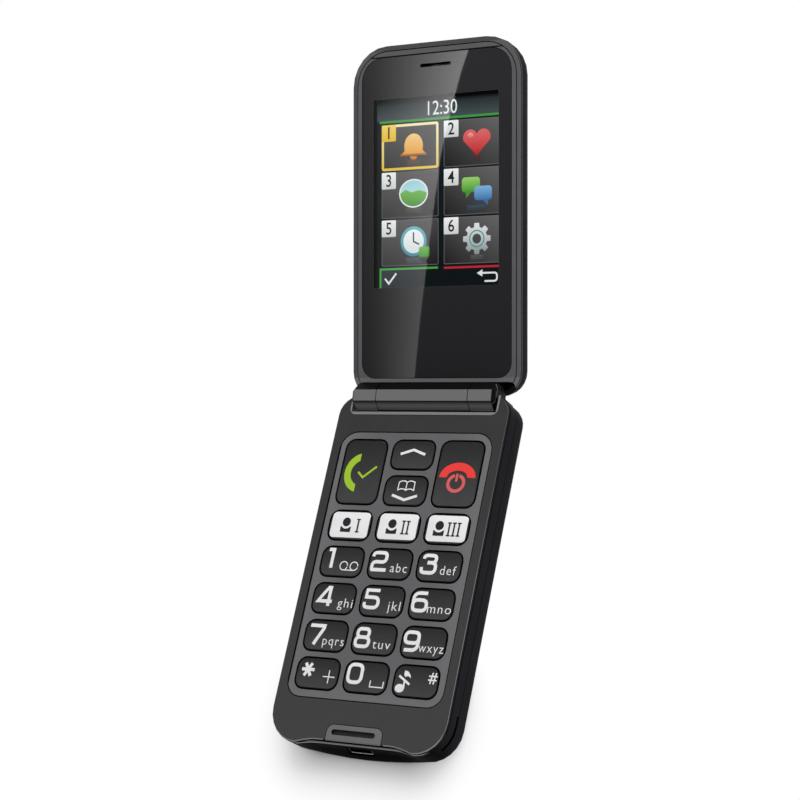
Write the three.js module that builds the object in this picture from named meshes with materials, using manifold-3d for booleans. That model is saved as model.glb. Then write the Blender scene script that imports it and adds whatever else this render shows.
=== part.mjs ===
// Flip phone, open and lying on its back: a keypad half, a display half and the barrel hinge between them.
// Millimetres, +Z up, +Y from the keypad to the hinge. The origin is on the back, under the keypad's middle.
import * as THREE from 'three';
import { mergeVertices } from 'three/addons/utils/BufferGeometryUtils.js';
import Module from 'manifold-3d';

const wasm = await Module();
wasm.setup();

// Whole phone
const BODY_WIDTH = 55;
const OPEN_ANGLE_DEG = 157.3;
const CLOSED_GAP = 0.45;
const FIT = 0.3;
const SEAT = 0.05;
const OVERRUN = 3;
const CORNER_STEPS = 6;
const SMALL_CORNER_STEPS = 4;
const ROUND_SIDES = 14;

// Keypad half, lengths measured down from the hinge axis
const BASE_LENGTH = 100.9;
const BASE_THICKNESS = 11.3;
const BASE_TOP_GAP = 0.3;
const BASE_TOP_RADIUS = 5.8;
const BASE_BOTTOM_RADIUS = 9.3;
const BASE_BACK_ROUNDING = 3.1;
const BASE_WALL = 1.2;
const AXIS_DEPTH = 2.5;

// Lower end: the face is scooped in for the thumb that opens the lid, and the back swells out to a chin
const FACE_SCOOP = 1.35;
const RIM_SCOOP = 0.8;
const CHIN = 1.4;
const CHIN_HEIGHT = 0.5;
const SCOOP_HEIGHT = 9;
const SCOOP_FLAT_SHARE = 0.62;
const SCOOP_STEPS = 5;

// Front casing
const FACE_INSET = 0.1;
const FACE_EDGE = 0.8;
const FACE_CHAMFER = 0.3;
const CASING_THICKNESS = 1.7;
const CASING_BOSS_RADIUS = 1.9;

// Battery cover
const COVER_HEIGHT = 6.5;
const COVER_FLOOR = 1.2;
const ROUNDING_STEPS = 4;
const NAIL_SLOT_HEIGHT = 1;
const NAIL_SLOT_DEPTH = 0.8;
const NAIL_SLOT_START_DEG = -46;
const NAIL_SLOT_RUN = 2.75;
const GRILLE_SLOTS = 4;
const GRILLE_SLOT_LENGTH = 8;
const GRILLE_SLOT_WIDTH = 0.9;
const GRILLE_PITCH = 2;

// Rear housing
const FLOOR_HEIGHT = 6.7;
const FLOOR_THICKNESS = 0.7;
const BAY_WALL = 0.8;
const CROSS_WALL = 1.1;
const CONTACT_GAP_HALF = 7;

// Battery and what lies beside it
const BATTERY_SIDE_MARGIN = 8.5;
const BATTERY_TOP = 22;
const BATTERY_END_MARGIN = 26.9;
const BATTERY_CORNER = 2;
const CONTACTS_LENGTH = 2.2;
const CONTACTS_HEIGHT = 2.6;
const CONTACTS_RIB = 0.8;
const CONTACT_RIBS = 5;
const SIM_WIDTH = 15;
const SIM_LENGTH = 10.5;
const SIM_THICKNESS = 1.4;
const SIM_TOP = 9;
const SIM_X = -4;
const SPEAKER_WIDTH = 14;
const SPEAKER_LENGTH = 10;
const SPEAKER_X = -10;
const SPEAKER_END_MARGIN = 11.7;
const MOTOR_RADIUS = 2.2;
const MOTOR_LENGTH = 10;
const MOTOR_X = 10;
const MOTOR_END_MARGIN = 16.9;

// Boards and keypad
const BOARD_THICKNESS = 0.8;
const BOARD_SIDE_MARGIN = 5.5;
const BOARD_TOP = 12.9;
const BOARD_END_MARGIN = 11.3;
const TONGUE_SIDE_MARGIN = 18.5;
const TONGUE_END_MARGIN = 6.4;
const MEMBRANE_THICKNESS = 0.5;
const DOME_RADIUS = 2.2;
const DOME_HEIGHT = 0.2;
const DOME_SIDES = 8;
const PANEL_SIDE_MARGIN = 3.1;
const PANEL_TOP = 11.5;
const PANEL_END_MARGIN = 12.5;
const PANEL_TOP_RADIUS = 5.3;
const PANEL_BOTTOM_RADIUS = 4.5;
const PANEL_THICKNESS = 0.85;
const PANEL_GROOVE = 0.3;
const PANEL_LEDGE = 1.3;
const PANEL_SUNK = 0.05;
const KEY_COLUMNS = 3;
const KEY_ROWS = 7;
const KEY_SPACING = 2.15;
const KEY_SIDE_MARGIN = 2.3;
const KEY_END_MARGIN = 2.45;
const KEY_RADIUS = 2.5;
const KEY_GAP = 0.4;
const KEY_ROUNDING = 0.3;
const KEY_CROWN = 0.15;
const KEY_CROWN_INSET_SHARE = 0.28;
const KEY_PROUD = 0.15;
const KEY_TRAVEL = 0.4;

// Tab and socket in the lower end
const TAB_HALF = 8.6;
const TAB_REACH = 5.8;
const TAB_RADIUS = 1.9;
const TAB_GAP = 0.2;
const TAB_SLOT_LENGTH = 13.6;
const TAB_SLOT_WIDTH = 1.5;
const TAB_SLOT_DEPTH = 0.8;
const TAB_SLOT_DOWN = 2;
const TAB_SLOT_SHIFT = -0.35;
const SOCKET_WIDTH = 7.4;
const SOCKET_HEIGHT = 2.4;
const SOCKET_LENGTH = 5.4;
const SOCKET_WALL = 0.35;
const MICROPHONE_RADIUS = 1.8;
const MICROPHONE_HEIGHT = 1.4;
const MICROPHONE_SIDE_MARGIN = 16;
const MICROPHONE_END_MARGIN = 6.4;

// Screws
const SCREW_SHAFT = 0.7;
const SCREW_HEAD = 1.6;
const SCREW_HEAD_HEIGHT = 0.7;
const SCREW_HOLE_GAP = 0.25;
const BASE_SCREW_REACH = 2.3;
const BASE_SCREW_TOP_SIDE_MARGIN = 7.5;
const BASE_SCREW_TOP_DOWN = 10;
const BASE_SCREW_LOW_SIDE_MARGIN = 10.5;
const BASE_SCREW_LOW_END_MARGIN = 8.9;
const LID_SCREW_REACH = 2.2;
const LID_SCREW_SIDE_MARGIN = 9.5;
const LID_SCREW_Y = 12;
const LID_BOSS_RADIUS = 2.1;

// Hinge
const BARREL_RADIUS = 4.2;
const BARREL_SIDES = 8;
const BARREL_END_GAP = 0.8;
const BARREL_SHIFT = -0.7;
const KNUCKLE_LENGTH = 8.15;
const BARREL_CHAMFER = 0.9;
const BORE_RADIUS = 2.45;
const BORE_END_WALL = 0.8;
const CARTRIDGE_LENGTH = 17;
const CARTRIDGE_NOSE = 3;
const CARTRIDGE_NOSE_RADIUS = 1.6;
const PIN_LENGTH = 13;
const PIN_RADIUS = 2.15;
const CRADLE_SIDE_MARGIN = 3.6;
const CRADLE_DOWN = 6.15;
const CRADLE_LIP = 0.85;
const CRADLE_WALL = 0.6;
const CRADLE_CORNER = 1.9;
const CRADLE_GAP = 0.15;
const TROUGH_END_DEG = 263;
const NECK_THICKNESS = 0.9;
const NECK_REACH = 9.5;
const NECK_FRONT = 4;
const NECK_BACK = 2.6;

// Display half, lengths measured up from the hinge axis
const LID_SIDE_INSET = 0.2;
const LID_LENGTH = 100.4;
const LID_THICKNESS = 7.6;
const LID_BOTTOM_GAP = 0.4;
const LID_TOP_RADIUS = 11.2;
const LID_BOTTOM_RADIUS = 7;
const LID_BACK_ROUNDING = 5;
const LID_WALL = 1.3;
const LID_FLOOR = 1.2;
const RING_THICKNESS = 1;
const RING_CHAMFER = 0.15;
const RING_GROOVE_INSET = 1.5;
const RING_GROOVE_WIDTH = 0.3;
const RING_GROOVE_DEPTH = 0.35;
const RING_LEDGE = 1.2;
const RING_INNER_DEPTH = 1.75;
const NOTCH_SIDE_MARGIN = 2;
const NOTCH_HEIGHT = 4.4;
const NOTCH_CORNER = 1.6;
const NOTCH_CLEARANCE = 0.5;

// Display
const LENS_SIDE_MARGIN = 3.1;
const LENS_BOTTOM = 5.6;
const LENS_TOP_MARGIN = 3.35;
const LENS_TOP_RADIUS = 6.4;
const LENS_BOTTOM_RADIUS = 4.1;
const LENS_GAP = 0.15;
const LENS_THICKNESS = 0.7;
const LENS_SUNK = 0.05;
const EARPIECE_SLOT_LENGTH = 9.9;
const EARPIECE_SLOT_WIDTH = 1;
const EARPIECE_SLOT_CORNER = 0.25;
const EARPIECE_SLOT_TOP_MARGIN = 6.5;
const WINDOW_SIDE_MARGIN = 3.95;
const WINDOW_BOTTOM = 31.3;
const WINDOW_TOP_MARGIN = 15.1;
const WINDOW_MARGIN = 0.6;
const SURROUND_THICKNESS = 1.6;
const DISPLAY_MARGIN = 1.5;
const DISPLAY_FOOT = 4.2;
const DISPLAY_HEAD = 3.2;
const DISPLAY_THICKNESS = 1.5;
const LID_BOARD_SIDE_MARGIN = 14.5;
const LID_BOARD_BOTTOM = 10.5;
const LID_BOARD_TOP = 26;
const EARPIECE_LENGTH = 13;
const EARPIECE_WIDTH = 5.4;
const EARPIECE_HEIGHT = 1.9;
const EARPIECE_TOP_MARGIN = 8;
const MAGNET_SIZE = 4;
const MAGNET_THICKNESS = 1.4;
const MAGNET_SIDE_MARGIN = 8.3;
const MAGNET_Y = 21;

// Places in plan, worked out from the sizes above
const BASE_HALF = BODY_WIDTH / 2;
const HINGE_Y = BASE_LENGTH / 2;
const PANEL_HALF = BASE_HALF - PANEL_SIDE_MARGIN;
const PANEL_BOTTOM = BASE_LENGTH - PANEL_END_MARGIN;
const KEY_COLUMN_ROOM = PANEL_HALF * 2 - KEY_SIDE_MARGIN * 2 - KEY_SPACING * (KEY_COLUMNS - 1);
const KEY_ROW_ROOM = PANEL_BOTTOM - PANEL_TOP - KEY_END_MARGIN * 2 - KEY_SPACING * (KEY_ROWS - 1);
const KEY_WIDTH = KEY_COLUMN_ROOM / KEY_COLUMNS;
const KEY_HEIGHT = KEY_ROW_ROOM / KEY_ROWS;
const KEY_PITCH_X = KEY_WIDTH + KEY_SPACING;
const KEY_PITCH_Y = KEY_HEIGHT + KEY_SPACING;
const FIRST_KEY_ROW = PANEL_TOP + KEY_END_MARGIN + KEY_HEIGHT / 2;
const BOARD_HALF = BASE_HALF - BOARD_SIDE_MARGIN;
const BOARD_BOTTOM = BASE_LENGTH - BOARD_END_MARGIN;
const TONGUE_HALF = BASE_HALF - TONGUE_SIDE_MARGIN;
const TONGUE_BOTTOM = BASE_LENGTH - TONGUE_END_MARGIN;
const TAB_TOP = BASE_LENGTH - TAB_REACH;
const BATTERY_HALF = BASE_HALF - BATTERY_SIDE_MARGIN;
const BATTERY_BOTTOM = BASE_LENGTH - BATTERY_END_MARGIN;
const SPEAKER_BOTTOM = BASE_LENGTH - SPEAKER_END_MARGIN;
const CRADLE_HALF = BASE_HALF - CRADLE_SIDE_MARGIN;
const BARREL_HALF = CRADLE_HALF - BARREL_END_GAP;
const BARREL_MIDDLE_HALF = BARREL_HALF - KNUCKLE_LENGTH - FIT;
const NOTCH_HALF = BASE_HALF - NOTCH_SIDE_MARGIN;
const LID_HALF = BASE_HALF - LID_SIDE_INSET;
const LID_BOARD_HALF = BASE_HALF - LID_BOARD_SIDE_MARGIN;
const LENS_HALF = LID_HALF - LENS_SIDE_MARGIN;
const LENS_TOP = LID_LENGTH - LENS_TOP_MARGIN;
const WINDOW_HALF = LENS_HALF - WINDOW_SIDE_MARGIN;
const WINDOW_TOP = LID_LENGTH - WINDOW_TOP_MARGIN;
const EARPIECE_Y = LID_LENGTH - EARPIECE_TOP_MARGIN;
const EARPIECE_SLOT_Y = LID_LENGTH - EARPIECE_SLOT_TOP_MARGIN;

// Heights worked out from the sizes above
const AXIS_HEIGHT = BASE_THICKNESS - AXIS_DEPTH;
const CASING_BOTTOM = BASE_THICKNESS - CASING_THICKNESS;
const HOUSING_TOP = BASE_THICKNESS - FACE_EDGE;
const FLOOR_TOP = FLOOR_HEIGHT + FLOOR_THICKNESS;
const SOCKET_TOP = FLOOR_TOP;
const SOCKET_BACK = -BASE_LENGTH + SOCKET_LENGTH;
const BOARD_HEIGHT = FLOOR_TOP + FIT;
const MEMBRANE_HEIGHT = BOARD_HEIGHT + BOARD_THICKNESS + FIT;
const KEY_BOTTOM = MEMBRANE_HEIGHT + MEMBRANE_THICKNESS + DOME_HEIGHT + KEY_TRAVEL + SEAT;
const PANEL_HEIGHT = BASE_THICKNESS - PANEL_SUNK - PANEL_THICKNESS;
const KEY_TOP = BASE_THICKNESS + KEY_PROUD;
const LID_FACE = -(AXIS_DEPTH + CLOSED_GAP);
const LID_BACK = LID_FACE - LID_THICKNESS;
const LID_SPLIT = LID_FACE - RING_THICKNESS;
const LENS_FRONT = LID_FACE - LENS_SUNK;
const SURROUND_FRONT = LENS_FRONT - LENS_THICKNESS - FIT;
const SURROUND_BACK = SURROUND_FRONT - SURROUND_THICKNESS;
const BEHIND_SURROUND = SURROUND_BACK - FIT;
const LID_HEAD_SEAT = SURROUND_FRONT - SCREW_HEAD_HEIGHT - SEAT;
const RUNNING_RADIUS = BARREL_RADIUS + FIT;
const FACET_TILT = THREE.MathUtils.degToRad(180 - OPEN_ANGLE_DEG) / 2;

const anthracite = new THREE.MeshStandardMaterial({ color: 0x3f3f40, roughness: 0.55, metalness: 0 });
const midGrey = new THREE.MeshStandardMaterial({ color: 0x68686a, roughness: 0.5, metalness: 0 });
const keyBlack = new THREE.MeshStandardMaterial({ color: 0x353535, roughness: 0.45, metalness: 0 });
const keyWhite = new THREE.MeshStandardMaterial({ color: 0xe8e6e8, roughness: 0.4, metalness: 0 });
const shellBlack = new THREE.MeshStandardMaterial({ color: 0x232326, roughness: 0.4, metalness: 0 });
const glossBlack = new THREE.MeshStandardMaterial({ color: 0x1b1b1e, roughness: 0.05, metalness: 0 });
const rubberGrey = new THREE.MeshStandardMaterial({ color: 0x161617, roughness: 0.8, metalness: 0 });
const screenBlack = new THREE.MeshStandardMaterial({ color: 0x101418, roughness: 0.2, metalness: 0 });
const boardGreen = new THREE.MeshStandardMaterial({ color: 0x1f5a3a, roughness: 0.6, metalness: 0 });
const batteryGrey = new THREE.MeshStandardMaterial({ color: 0x8a8d90, roughness: 0.5, metalness: 0.2 });
const steel = new THREE.MeshStandardMaterial({ color: 0xb4b6b8, roughness: 0.3, metalness: 1 });

// A quarter circle of an outline's corner, anticlockwise from the given angle.
function cornerPoints(centreX, centreY, radius, start, steps) {
  return Array.from({ length: steps + 1 }, (_, i) => {
    const angle = start + (i / steps) * (Math.PI / 2);
    return new THREE.Vector2(centreX + radius * Math.cos(angle), centreY + radius * Math.sin(angle));
  });
}

// A rectangle with round corners, anticlockwise from its lower edge, drawn in by inset on every side.
// A radius that inset uses up stays at a small share of the width, so that an outline keeps its points.
function roundedOutline(form, inset = 0, steps = CORNER_STEPS, lowerEdge = []) {
  const half = form.half - inset;
  const middle = form.middle ?? 0;
  const least = form.half / 1000;
  const topRadius = Math.max(form.topRadius - inset, least);
  const lowRadius = Math.max(form.lowRadius - inset, least);
  const top = form.top - inset;
  const low = form.low + inset;
  return [
    ...lowerEdge,
    ...cornerPoints(middle + half - lowRadius, low + lowRadius, lowRadius, -Math.PI / 2, steps),
    ...cornerPoints(middle + half - topRadius, top - topRadius, topRadius, 0, steps),
    ...cornerPoints(middle - half + topRadius, top - topRadius, topRadius, Math.PI / 2, steps),
    ...cornerPoints(middle - half + lowRadius, low + lowRadius, lowRadius, Math.PI, steps),
  ];
}

// The keypad half in plan. Its lower edge is scooped in, steep at the corners and flat in the middle,
// or bows to a chin.
function baseOutline(inset, { scoop, chin }) {
  const form = {
    half: BASE_HALF,
    top: -BASE_TOP_GAP,
    low: -BASE_LENGTH,
    topRadius: BASE_TOP_RADIUS,
    lowRadius: BASE_BOTTOM_RADIUS,
  };
  const reach = BASE_HALF - BASE_BOTTOM_RADIUS;
  const slope = Array.from({ length: SCOOP_STEPS }, (_, i) => {
    const step = (i + 1) / SCOOP_STEPS;
    return [1 - step * (1 - SCOOP_FLAT_SHARE), Math.sin((step * Math.PI) / 2)];
  });
  const half = [...slope, [SCOOP_FLAT_SHARE / 2, 1]];
  const mirrorHalf = half.map(([share, rise]) => [-share, rise]).reverse();
  const lowerEdge = [...half, [0, 1], ...mirrorHalf].map(([share, rise]) => (
    new THREE.Vector2(-share * reach, form.low + inset + scoop * rise - chin * (1 - share * share))
  ));
  return roundedOutline(form, inset, CORNER_STEPS, lowerEdge);
}

// The lower end at a height: all chin at the back, changing smoothly to all scoop below the face.
function endAt(height) {
  const share = THREE.MathUtils.smoothstep(height, CHIN_HEIGHT, SCOOP_HEIGHT);
  return { scoop: RIM_SCOOP * share, chin: CHIN * (1 - share) };
}

const FACE_END = { scoop: FACE_SCOOP, chin: 0 };
const RIM_END = { scoop: RIM_SCOOP, chin: 0 };

// A triangle mesh from points and faces, turned right side out.
function closedMesh(position, index) {
  const geometry = new THREE.BufferGeometry();
  geometry.setAttribute('position', new THREE.Float32BufferAttribute(position, 3));
  let volume = 0;
  for (let i = 0; i < index.length; i += 3) {
    const [a, b, c] = [0, 1, 2].map((k) => new THREE.Vector3().fromArray(position, index[i + k] * 3));
    volume += a.dot(b.cross(c));
  }
  geometry.setIndex(volume > 0 ? index : index.reverse());
  return geometry;
}

function joinRings(index, from, to, count) {
  for (let i = 0; i < count; i++) {
    const next = (i + 1) % count;
    index.push(from + i, from + next, to + next, from + i, to + next, to + i);
  }
}

// A solid through outlines at rising heights, with flat ends.
function loft(levels) {
  const count = levels[0].points.length;
  const position = levels.flatMap(({ points, z }) => points.flatMap((p) => [p.x, p.y, z]));
  const index = [];
  levels.slice(1).forEach((_, i) => joinRings(index, i * count, (i + 1) * count, count));
  const last = (levels.length - 1) * count;
  THREE.ShapeUtils.triangulateShape(levels[0].points, []).forEach(([a, b, c]) => index.push(a, c, b));
  THREE.ShapeUtils.triangulateShape(levels.at(-1).points, []).forEach(([a, b, c]) => {
    index.push(last + a, last + b, last + c);
  });
  return closedMesh(position, index);
}

// A frame whose section goes round through the outlines in turn and back to the first.
function frame(levels) {
  const count = levels[0].points.length;
  const position = levels.flatMap(({ points, z }) => points.flatMap((p) => [p.x, p.y, z]));
  const index = [];
  levels.forEach((_, i) => joinRings(index, i * count, ((i + 1) % levels.length) * count, count));
  return closedMesh(position, index);
}

function plate(points, bottom, top) {
  return loft([{ points, z: bottom }, { points, z: top }]);
}

function plateWithHoles(points, holes, bottom, top) {
  const shape = new THREE.Shape(points);
  shape.holes = holes.map((hole) => new THREE.Path(hole));
  const geometry = new THREE.ExtrudeGeometry(shape, { depth: top - bottom, bevelEnabled: false });
  return geometry.translate(0, 0, bottom);
}

function box(left, right, low, high, bottom, top) {
  const geometry = new THREE.BoxGeometry(right - left, high - low, top - bottom);
  return geometry.translate((left + right) / 2, (low + high) / 2, (bottom + top) / 2);
}

// A profile in the plane across the hinge, given as [y, z] points, carried along X.
function alongX(profile, left, right) {
  const shape = new THREE.Shape(profile.map(([y, z]) => new THREE.Vector2(y, z)));
  const geometry = new THREE.ExtrudeGeometry(shape, { depth: right - left, bevelEnabled: false });
  const turn = new THREE.Matrix4().makeBasis(
    new THREE.Vector3(0, 1, 0),
    new THREE.Vector3(0, 0, 1),
    new THREE.Vector3(1, 0, 0),
  );
  return geometry.applyMatrix4(turn).translate(left, 0, 0);
}

function roundAlongX(profile) {
  const points = profile.map(([radius, x]) => new THREE.Vector2(radius, x));
  return new THREE.LatheGeometry(points, ROUND_SIDES).rotateZ(-Math.PI / 2);
}

function roundAlongZ(profile, x, y) {
  const points = profile.map(([radius, z]) => new THREE.Vector2(radius, z));
  return new THREE.LatheGeometry(points, ROUND_SIDES).rotateX(Math.PI / 2).translate(x, y, 0);
}

function disc(radius, bottom, top, x, y) {
  return roundAlongZ([[0, bottom], [radius, bottom], [radius, top], [0, top]], x, y);
}

function merged(geometry) {
  const bare = geometry.clone();
  bare.deleteAttribute('normal');
  bare.deleteAttribute('uv');
  return mergeVertices(bare);
}

function solid(geometry) {
  const clean = merged(geometry);
  return new wasm.Manifold(new wasm.Mesh({
    numProp: 3,
    vertProperties: Float32Array.from(clean.attributes.position.array),
    triVerts: Uint32Array.from(clean.index.array),
  }));
}

function joinTo(body, shapes) {
  return shapes.reduce((all, shape) => all.add(solid(shape)), body);
}

function cutAway(body, shapes) {
  return shapes.reduce((all, shape) => all.subtract(solid(shape)), body);
}

// The first shape, joined to others and then cut by the rest.
function build(first, joined, cut) {
  return cutAway(joinTo(solid(first), joined), cut);
}

function toGeometry(body) {
  const mesh = body.getMesh();
  const geometry = new THREE.BufferGeometry();
  geometry.setAttribute('position', new THREE.Float32BufferAttribute(mesh.vertProperties, 3));
  geometry.setIndex(Array.from(mesh.triVerts));
  return geometry;
}

function piece(group, name, geometry, material) {
  const mesh = new THREE.Mesh(merged(geometry), material);
  mesh.name = name;
  group.add(mesh);
}

const basePlace = new THREE.Group();
basePlace.position.set(0, HINGE_Y, 0);

const lidPlace = new THREE.Group();
lidPlace.position.set(0, HINGE_Y, AXIS_HEIGHT);
lidPlace.rotation.x = Math.PI - THREE.MathUtils.degToRad(OPEN_ANGLE_DEG);

// Keypad

const panelForm = {
  half: PANEL_HALF,
  top: -PANEL_TOP,
  low: -PANEL_BOTTOM,
  topRadius: PANEL_TOP_RADIUS,
  lowRadius: PANEL_BOTTOM_RADIUS,
};

function keyForm(name, column, centre, height) {
  return { name, column, centre, height };
}

function rowCentre(row) {
  return -FIRST_KEY_ROW - row * KEY_PITCH_Y;
}

// The call and end keys are two rows high. The memory keys have the third row, and the digits the rest.
const tallKeyCentre = (rowCentre(0) + rowCentre(1)) / 2;
const tallKeyHeight = KEY_PITCH_Y + KEY_HEIGHT;
const keys = [
  keyForm('key_call', -1, tallKeyCentre, tallKeyHeight),
  keyForm('key_up', 0, rowCentre(0), KEY_HEIGHT),
  keyForm('key_down', 0, rowCentre(1), KEY_HEIGHT),
  keyForm('key_end', 1, tallKeyCentre, tallKeyHeight),
  ...[1, 2, 3].map((n, i) => keyForm(`key_memory_${n}`, i - 1, rowCentre(2), KEY_HEIGHT)),
  ...['1', '2', '3', '4', '5', '6', '7', '8', '9', 'star', '0', 'hash'].map((label, i) => (
    keyForm(`key_${label}`, (i % KEY_COLUMNS) - 1, rowCentre(3 + Math.floor(i / KEY_COLUMNS)), KEY_HEIGHT)
  )),
];

// A key's outline, wider than the cap by grow on every side.
function keyOutline(key, grow) {
  const form = {
    half: KEY_WIDTH / 2,
    middle: key.column * KEY_PITCH_X,
    top: key.centre + key.height / 2,
    low: key.centre - key.height / 2,
    topRadius: KEY_RADIUS,
    lowRadius: KEY_RADIUS,
  };
  return roundedOutline(form, -grow, SMALL_CORNER_STEPS);
}

// A key cap: straight sides, a rounded edge and a low crown.
function keyCap(key) {
  const crownInset = KEY_HEIGHT * KEY_CROWN_INSET_SHARE;
  return loft([
    { points: keyOutline(key, 0), z: KEY_BOTTOM },
    { points: keyOutline(key, 0), z: KEY_TOP - KEY_ROUNDING },
    { points: keyOutline(key, -KEY_ROUNDING), z: KEY_TOP },
    { points: keyOutline(key, -crownInset), z: KEY_TOP + KEY_CROWN },
  ]);
}

function keypadPanel() {
  const outline = roundedOutline(panelForm, PANEL_GROOVE / 2);
  const holes = keys.map((key) => keyOutline(key, KEY_GAP));
  return plateWithHoles(outline, holes, PANEL_HEIGHT, PANEL_HEIGHT + PANEL_THICKNESS);
}

function boardOutline(grow) {
  const half = BOARD_HALF + grow;
  const tongue = TONGUE_HALF + grow;
  return [
    [-half, -BOARD_BOTTOM], [-tongue, -BOARD_BOTTOM], [-tongue, -TONGUE_BOTTOM],
    [tongue, -TONGUE_BOTTOM], [tongue, -BOARD_BOTTOM], [half, -BOARD_BOTTOM],
    [half, -BOARD_TOP], [-half, -BOARD_TOP],
  ].map(([x, y]) => new THREE.Vector2(x, y));
}

function keypadMembrane() {
  const form = {
    half: BOARD_HALF,
    top: -BOARD_TOP,
    low: -BOARD_BOTTOM,
    topRadius: KEY_RADIUS,
    lowRadius: KEY_RADIUS,
  };
  const top = MEMBRANE_HEIGHT + MEMBRANE_THICKNESS;
  const sheet = plate(roundedOutline(form, 0, SMALL_CORNER_STEPS), MEMBRANE_HEIGHT, top);
  const domes = keys.map((key) => {
    const dome = new THREE.CylinderGeometry(DOME_RADIUS / 2, DOME_RADIUS, DOME_HEIGHT * 2, DOME_SIDES);
    return dome.rotateX(Math.PI / 2).translate(key.column * KEY_PITCH_X, key.centre, top);
  });
  return toGeometry(build(sheet, domes, []));
}

// Keypad half's casings

const screwPlaces = [
  ['top_left', BASE_SCREW_TOP_SIDE_MARGIN - BASE_HALF, -BASE_SCREW_TOP_DOWN],
  ['top_right', BASE_HALF - BASE_SCREW_TOP_SIDE_MARGIN, -BASE_SCREW_TOP_DOWN],
  ['lower_left', BASE_SCREW_LOW_SIDE_MARGIN - BASE_HALF, BASE_SCREW_LOW_END_MARGIN - BASE_LENGTH],
  ['lower_right', BASE_HALF - BASE_SCREW_LOW_SIDE_MARGIN, BASE_SCREW_LOW_END_MARGIN - BASE_LENGTH],
];

// The notch that the hinge cradle fills, open towards the hinge.
function cradleNotch(bottom) {
  const form = {
    half: CRADLE_HALF + CRADLE_GAP,
    top: OVERRUN,
    low: -CRADLE_DOWN - CRADLE_GAP,
    topRadius: 0,
    lowRadius: CRADLE_CORNER,
  };
  return plate(roundedOutline(form, 0, SMALL_CORNER_STEPS), bottom, BASE_THICKNESS + OVERRUN);
}

function tabOutline(grow) {
  const form = {
    half: TAB_HALF,
    top: -TAB_TOP,
    low: -BASE_LENGTH - OVERRUN,
    topRadius: TAB_RADIUS,
    lowRadius: TAB_RADIUS,
  };
  return roundedOutline(form, -grow, SMALL_CORNER_STEPS);
}

// The face plate's outer form, down to the plug that drops between the rear housing's walls.
function facePlate() {
  const plug = BASE_WALL + FIT;
  return loft([
    { points: baseOutline(plug, FACE_END), z: CASING_BOTTOM },
    { points: baseOutline(plug, FACE_END), z: HOUSING_TOP },
    { points: baseOutline(FACE_INSET, FACE_END), z: HOUSING_TOP },
    { points: baseOutline(FACE_INSET, FACE_END), z: BASE_THICKNESS - FACE_CHAMFER },
    { points: baseOutline(FACE_INSET + FACE_CHAMFER, FACE_END), z: BASE_THICKNESS },
  ]);
}

function frontCasing() {
  const bosses = screwPlaces.map(([, x, y]) => disc(CASING_BOSS_RADIUS, BOARD_HEIGHT, PANEL_HEIGHT, x, y));
  const holes = screwPlaces.map(([, x, y]) => {
    const top = FLOOR_HEIGHT + BASE_SCREW_REACH + FIT;
    return disc(SCREW_SHAFT + SCREW_HOLE_GAP, BOARD_HEIGHT - OVERRUN, top, x, y);
  });
  const pocket = roundedOutline(panelForm, -PANEL_GROOVE / 2);
  const opening = roundedOutline(panelForm, PANEL_LEDGE);
  return toGeometry(build(facePlate(), bosses, [
    plate(pocket, PANEL_HEIGHT, BASE_THICKNESS + OVERRUN),
    plate(opening, CASING_BOTTOM - OVERRUN, BASE_THICKNESS + OVERRUN),
    plate(tabOutline(TAB_GAP), CASING_BOTTOM - OVERRUN, BASE_THICKNESS + OVERRUN),
    cradleNotch(0),
    ...holes,
  ]));
}

// The light grey tab: it fills the face plate's notch down to the scoop, and has an oblong recess.
function endTab() {
  const recess = {
    half: TAB_SLOT_LENGTH / 2,
    middle: TAB_SLOT_SHIFT,
    top: -TAB_TOP - TAB_SLOT_DOWN + TAB_SLOT_WIDTH / 2,
    low: -TAB_TOP - TAB_SLOT_DOWN - TAB_SLOT_WIDTH / 2,
    topRadius: TAB_SLOT_WIDTH / 2,
    lowRadius: TAB_SLOT_WIDTH / 2,
  };
  const recessBottom = BASE_THICKNESS - TAB_SLOT_DEPTH;
  const slot = plate(roundedOutline(recess, 0, SMALL_CORNER_STEPS), recessBottom, BASE_THICKNESS + OVERRUN);
  const blank = solid(plate(tabOutline(0), CASING_BOTTOM, BASE_THICKNESS + OVERRUN));
  return toGeometry(solid(facePlate()).intersect(blank).subtract(solid(slot)));
}

const bayHalf = BATTERY_HALF + FIT;
const bayTop = -BATTERY_TOP + FIT;
const bayLow = -BATTERY_BOTTOM - FIT;

// The room that both shells leave round the charging socket.
function socketRoom() {
  const half = SOCKET_WIDTH / 2 + FIT;
  const low = SOCKET_TOP - SOCKET_HEIGHT - FIT;
  return box(-half, half, -BASE_LENGTH - OVERRUN, SOCKET_BACK + FIT, low, SOCKET_TOP + FIT);
}

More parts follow.
